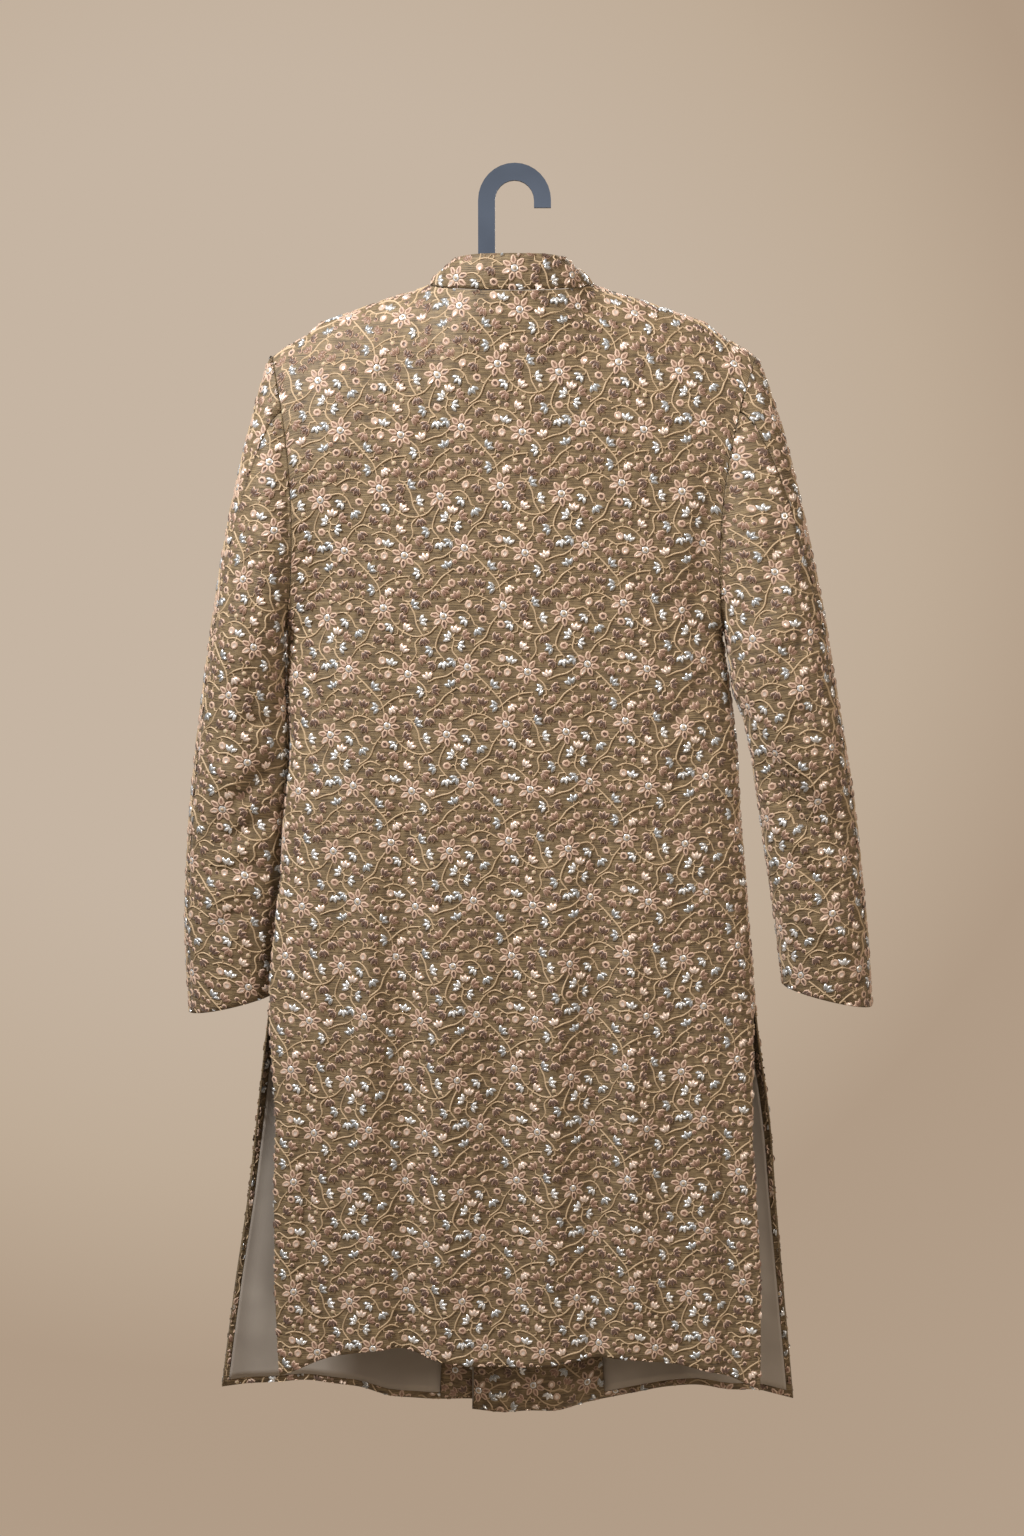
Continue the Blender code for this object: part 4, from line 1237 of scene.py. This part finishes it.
# %% Fronts
def front_band(u, v):
    """Where a front's cloth is folded in at its side and hem."""
    return (v > hem_row(TURNING) - 1e-4) | ((np.sin(math.pi / 2 * u) > 1 - BAND - 1e-4) & (v > VENT_TOP))


def front_columns(side):
    """Width parameters of a front, with one at its facing's edge and one at its band."""
    shares = np.sort(np.concatenate([np.linspace(0, 0.95, 46), np.sin(np.linspace(1.26, math.pi / 2, 9)),
                                     [FACING_SHARE[side], 1 - BAND]]))
    return np.arcsin(shares) / (math.pi / 2)


for side, shift in (("left", (7.0, -150.0)), ("right", (-31.0, -205.0))):
    chart = panel_chart(side)
    beside = without(0, lambda u, v: (u > 0.999) & (v < BESIDE_ARM))
    cloth = shell(f"front_{side}_cloth", chart, front_columns(side), rows_for(24, 92), CLOTH,
                  [silk, lining_satin], beside, front_band)
    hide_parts(f"front_{side}")
    stitches = embroider(f"front_{side}_embroidery", chart, shift)
    turned = embroider(f"front_{side}_band_embroidery", panel_chart(side, inside=True), shift,
                       lambda u, v: front_band(u, v) & (v > 0.7), CLOTH)
    declare(cloth, chart)

# %% [markdown]
# ## Facings and lining
#
# Both lie on the inside of a front and follow it, a little further in. They are the front's own
# surface moved inwards, which a maker does too: the facing is cut from the front's pattern.

# %% Facings and lining
def inner_surface(side):
    """A front's surface moved in by its wall and a small gap."""
    outer = front_surface(side)
    return lambda u, v: outer(u, v) - normals(outer, u, v, FRONT_OUTWARDS[side]) * (CLOTH + LINING_GAP)


def part_of(surface, u_from, u_to, v_from, v_to):
    """A part of a surface, with its own parameters from 0 to 1."""
    return lambda u, v: surface(u_from + (u_to - u_from) * u, v_from + (v_to - v_from) * v)


def share_to_u(share):
    """The width parameter of a share of the way from a front's edge to its side."""
    return math.asin(share) / (math.pi / 2)


LINING_TOP = 0.662
for side in ("left", "right"):
    inner = inner_surface(side)
    for kind, start, end, turning, wall in (
        ("facing", FACING_EDGE / SKIRT_WIDTH, FACING_SHARE[side], FACING_EDGE, FACING),
        ("lining", FACING_SHARE[side] + GAP / SKIRT_WIDTH, 1 - BAND, TURNING, LINING),
    ):
        surface = part_of(inner, share_to_u(start), share_to_u(end), LINING_TOP, hem_row(turning))
        chart = make_chart(surface, lambda points: lay_round(points, 0.0), FRONT_OUTWARDS[side], inside=True)
        cloth = shell(f"{kind}_{side}_cloth", chart, np.linspace(0, 1, 25), np.linspace(0, 1, 57), wall,
                      [silk if kind == "facing" else lining_satin])
        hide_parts(f"{kind}_{side}")
        with_it = []
        if kind == "facing":
            shift = (40.0, 60.0 if side == "left" else 15.0)
            with_it = [embroider(f"facing_{side}_embroidery", chart, shift, lambda u, v: v > 0.35, FACING)]
        declare(cloth, chart)

# %% [markdown]
# ## Sleeves
#
# A tailored sleeve has a top piece and a narrower under piece, joined by a seam behind the arm and one
# in front of it. Each is a part of the same tube, so their edges meet all the way down.

# %% Sleeves
SLEEVE_SEAM_SHARE = 0.0015  # each piece stops this share of its width short of its seams

for side in ("left", "right"):
    for piece, shift in (("top", (12.0, -210.0)), ("under", (46.0, -182.0))):
        outwards = 1 if (side == "left") == (piece == "top") else -1
        chart = make_chart(sleeve_surface(side, piece),
                           lambda points, side=side, piece=piece: lay_sleeve(points, side, piece), outwards)
        us = np.linspace(SLEEVE_SEAM_SHARE, 1 - SLEEVE_SEAM_SHARE, 33)
        vs = np.concatenate([[0, 0.006, 0.012, 0.03], np.linspace(0.06, 0.985, 80), [0.992, 1]])
        cloth = shell(f"sleeve_{side}_{piece}_cloth", chart, us, vs, CLOTH,
                      [silk, lining_satin], without(0, lambda u, v: v < 0.001),
                      lambda u, v: v > 0.984)
        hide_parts(f"sleeve_{side}_{piece}")
        stitches = embroider(f"sleeve_{side}_{piece}_embroidery", chart, shift)
        declare(cloth, chart)

# %% [markdown]
# ## Stand collar
#
# The collar is a stiff band, two layers of silk with a firm interlining, so it stands by itself. It
# leans in towards the neck and its ends meet in front.

# %% Collar
collar_chart = make_chart(collar_surface, lambda points: lay_round(points, 0.5), -1)
collar = shell("collar_cloth", collar_chart, np.linspace(COLLAR_OPENING, 1 - COLLAR_OPENING, 121),
               np.linspace(0, 1, 9), COLLAR_WALL, [silk], without(2, lambda u, v: v < 0.001))
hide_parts("collar")
collar_stitches = embroider("collar_embroidery", collar_chart, (3.0, 20.0))
declare(collar, collar_chart)

# %% [markdown]
# ## Buttons and hanger
#
# The buttons are cast metal with a dull gilt finish, and the hanger is moulded plastic, a flat hook
# with an arm. Their shapes come from the model as they are, so they only need their finishes.

# %% Buttons and hanger
RUBS_PER_M = 420.0  # rubbed patches about 2.4 mm across
GRAIN_PER_M = 700.0  # mould grain, drawn at 1.4 mm; the real grain is finer
TONES_PER_M = 14.0  # the plastic's tone drifts over about 70 mm


def worn_metal():
    """Cast brass with an antique gilt, in darker and rubbed brighter patches scattered at random."""
    made = new_material("cast brass, antique gilt", "a8865a", 0.38, 1.0)
    where = add_node(made, "ShaderNodeTexCoord", {}, {}, {})
    marks = add_node(made, "ShaderNodeTexNoise", {}, {"Scale": RUBS_PER_M, "Detail": 4.0},
                     {"Vector": (where, "Object")})
    colour = add_node(made, "ShaderNodeValToRGB", {}, {}, {"Fac": (marks, "Fac")},
                      [(0.35, "6e5230"), (0.65, "b8955f")])
    bump = add_node(made, "ShaderNodeBump", {}, {"Strength": 0.3, "Distance": 0.0004},
                    {"Height": (marks, "Fac")})
    into_shader(made, colour, bump)
    return made


def moulded_plastic():
    """Injection moulded polypropylene: an even blue grey with a very fine grain."""
    made = new_material("moulded polypropylene, blue grey", "444f5f", 0.42)
    where = add_node(made, "ShaderNodeTexCoord", {}, {}, {})
    grain = add_node(made, "ShaderNodeTexNoise", {}, {"Scale": GRAIN_PER_M, "Detail": 2.0},
                     {"Vector": (where, "Object")})
    tone = add_node(made, "ShaderNodeTexNoise", {}, {"Scale": TONES_PER_M}, {"Vector": (where, "Object")})
    colour = add_node(made, "ShaderNodeValToRGB", {}, {}, {"Fac": (tone, "Fac")},
                      [(0.3, "3e4959"), (0.7, "4c586a")])
    bump = add_node(made, "ShaderNodeBump", {}, {"Strength": 0.12, "Distance": 0.0003},
                    {"Height": (grain, "Fac")})
    into_shader(made, colour, bump)
    return made


brass, plastic = worn_metal(), moulded_plastic()
for name in frame["nodes"]:
    node = bpy.data.objects[name]
    if name.startswith("button") or name == "hanger":
        finish = plastic if name == "hanger" else brass
        if node.material_slots:
            node.material_slots[0].material = finish
        else:
            node.data.materials.append(finish)
print("finishes:", brass.name, "and", plastic.name)

# %% [markdown]
# ## Floor and light
#
# The coat hangs high above a plain pale floor. The key is a small soft box up to the left, between the
# camera and the coat. A wider one fills the other side, the widest lights the front, and the plain
# studio wall lights everything a little. The wall could be a sphere, but the world needs no mesh.

# %% Floor
FLOOR_Z = -1.75


def make_floor():
    """A plain round of painted board below the coat."""
    bm = bmesh.new()
    bmesh.ops.create_circle(bm, cap_ends=True, segments=96, radius=0.5)
    bmesh.ops.translate(bm, verts=bm.verts, vec=(0, 0, FLOOR_Z))
    floor = add_object("floor", finished_mesh(bm, "floor"))
    floor.data.materials.append(new_material("painted board, pale sand", "b3a28d", 0.8))


make_floor()
print("the floor is", -FLOOR_Z, "m below the hook")


# %% Lights
def soft_lamp(name, at, aim, size, watts, colour, spread=180):
    """A square soft box that faces a place, with its beam's spread in degrees."""
    lamp = bpy.data.lights.new(name, "AREA")
    lamp.size = size
    lamp.energy = watts
    lamp.color = hex_colour(colour)[:3]
    lamp.spread = math.radians(spread)
    holder = add_object(name, lamp)
    holder.location = at
    way = Vector(aim) - Vector(at)
    holder.rotation_euler = way.to_track_quat("-Z", "Y").to_euler()


soft_lamp("key", (1.4, 1.3, 1.3), (0.0, 0, -0.25), 0.45, 41, "fcf8f4", 120)
soft_lamp("fill", (-1.9, 2.1, 0.3), (-0.1, 0, -0.6), 1.0, 32, "ffeedd")
soft_lamp("front", (-1.2, -2.6, 0.9), (0, 0, -0.6), 1.4, 80, "fff4e8")

# %% Studio wall
WALL_LIGHT = 0.5  # the wall lights the coat with this share of the brightness that the camera sees


def studio_wall():
    """A plain wall all round, paler behind the coat. A Light Path switch dims the light it casts."""
    wall = bpy.data.worlds.new("studio wall")
    wall.use_nodes = True
    nodes = wall.node_tree.nodes
    where = add_node(wall, "ShaderNodeTexCoord", {}, {}, {})
    split = add_node(wall, "ShaderNodeSeparateXYZ", {}, {}, {"Vector": (where, "Generated")})
    ahead = add_node(wall, "ShaderNodeMath", {"operation": "ABSOLUTE"}, {}, {0: (split, "Y")})
    level_at = add_node(wall, "ShaderNodeMath", {"operation": "MULTIPLY_ADD"}, {1: 0.12},
                        {0: (split, "X"), 2: (ahead, "Value")})
    colour = add_node(wall, "ShaderNodeValToRGB", {}, {}, {"Fac": (level_at, "Value")},
                      [(0.6, "bda994"), (0.93, "b09b86"), (0.96, "bfac97"), (0.99, "c6b5a3")])
    ray = add_node(wall, "ShaderNodeLightPath", {}, {}, {})
    strength = add_node(wall, "ShaderNodeMapRange", {}, {"To Min": WALL_LIGHT, "To Max": 1.0},
                        {"Value": (ray, "Is Camera Ray")})
    wall.node_tree.links.new(colour.outputs["Color"], nodes["Background"].inputs["Color"])
    wall.node_tree.links.new(strength.outputs["Result"], nodes["Background"].inputs["Strength"])
    return wall


bpy.context.scene.world = studio_wall()
bpy.context.scene.view_settings.view_transform = "Standard"
print("lit by three soft lamps and the wall")

# %% [markdown]
# ## Finish
#
# The flat size that each panel was cut to is printed.

# %% Finish
for name, cut in cuts.items():
    print(name, "is cut from", cut[0], "by", cut[1], "m, area", cut[2], "m2")
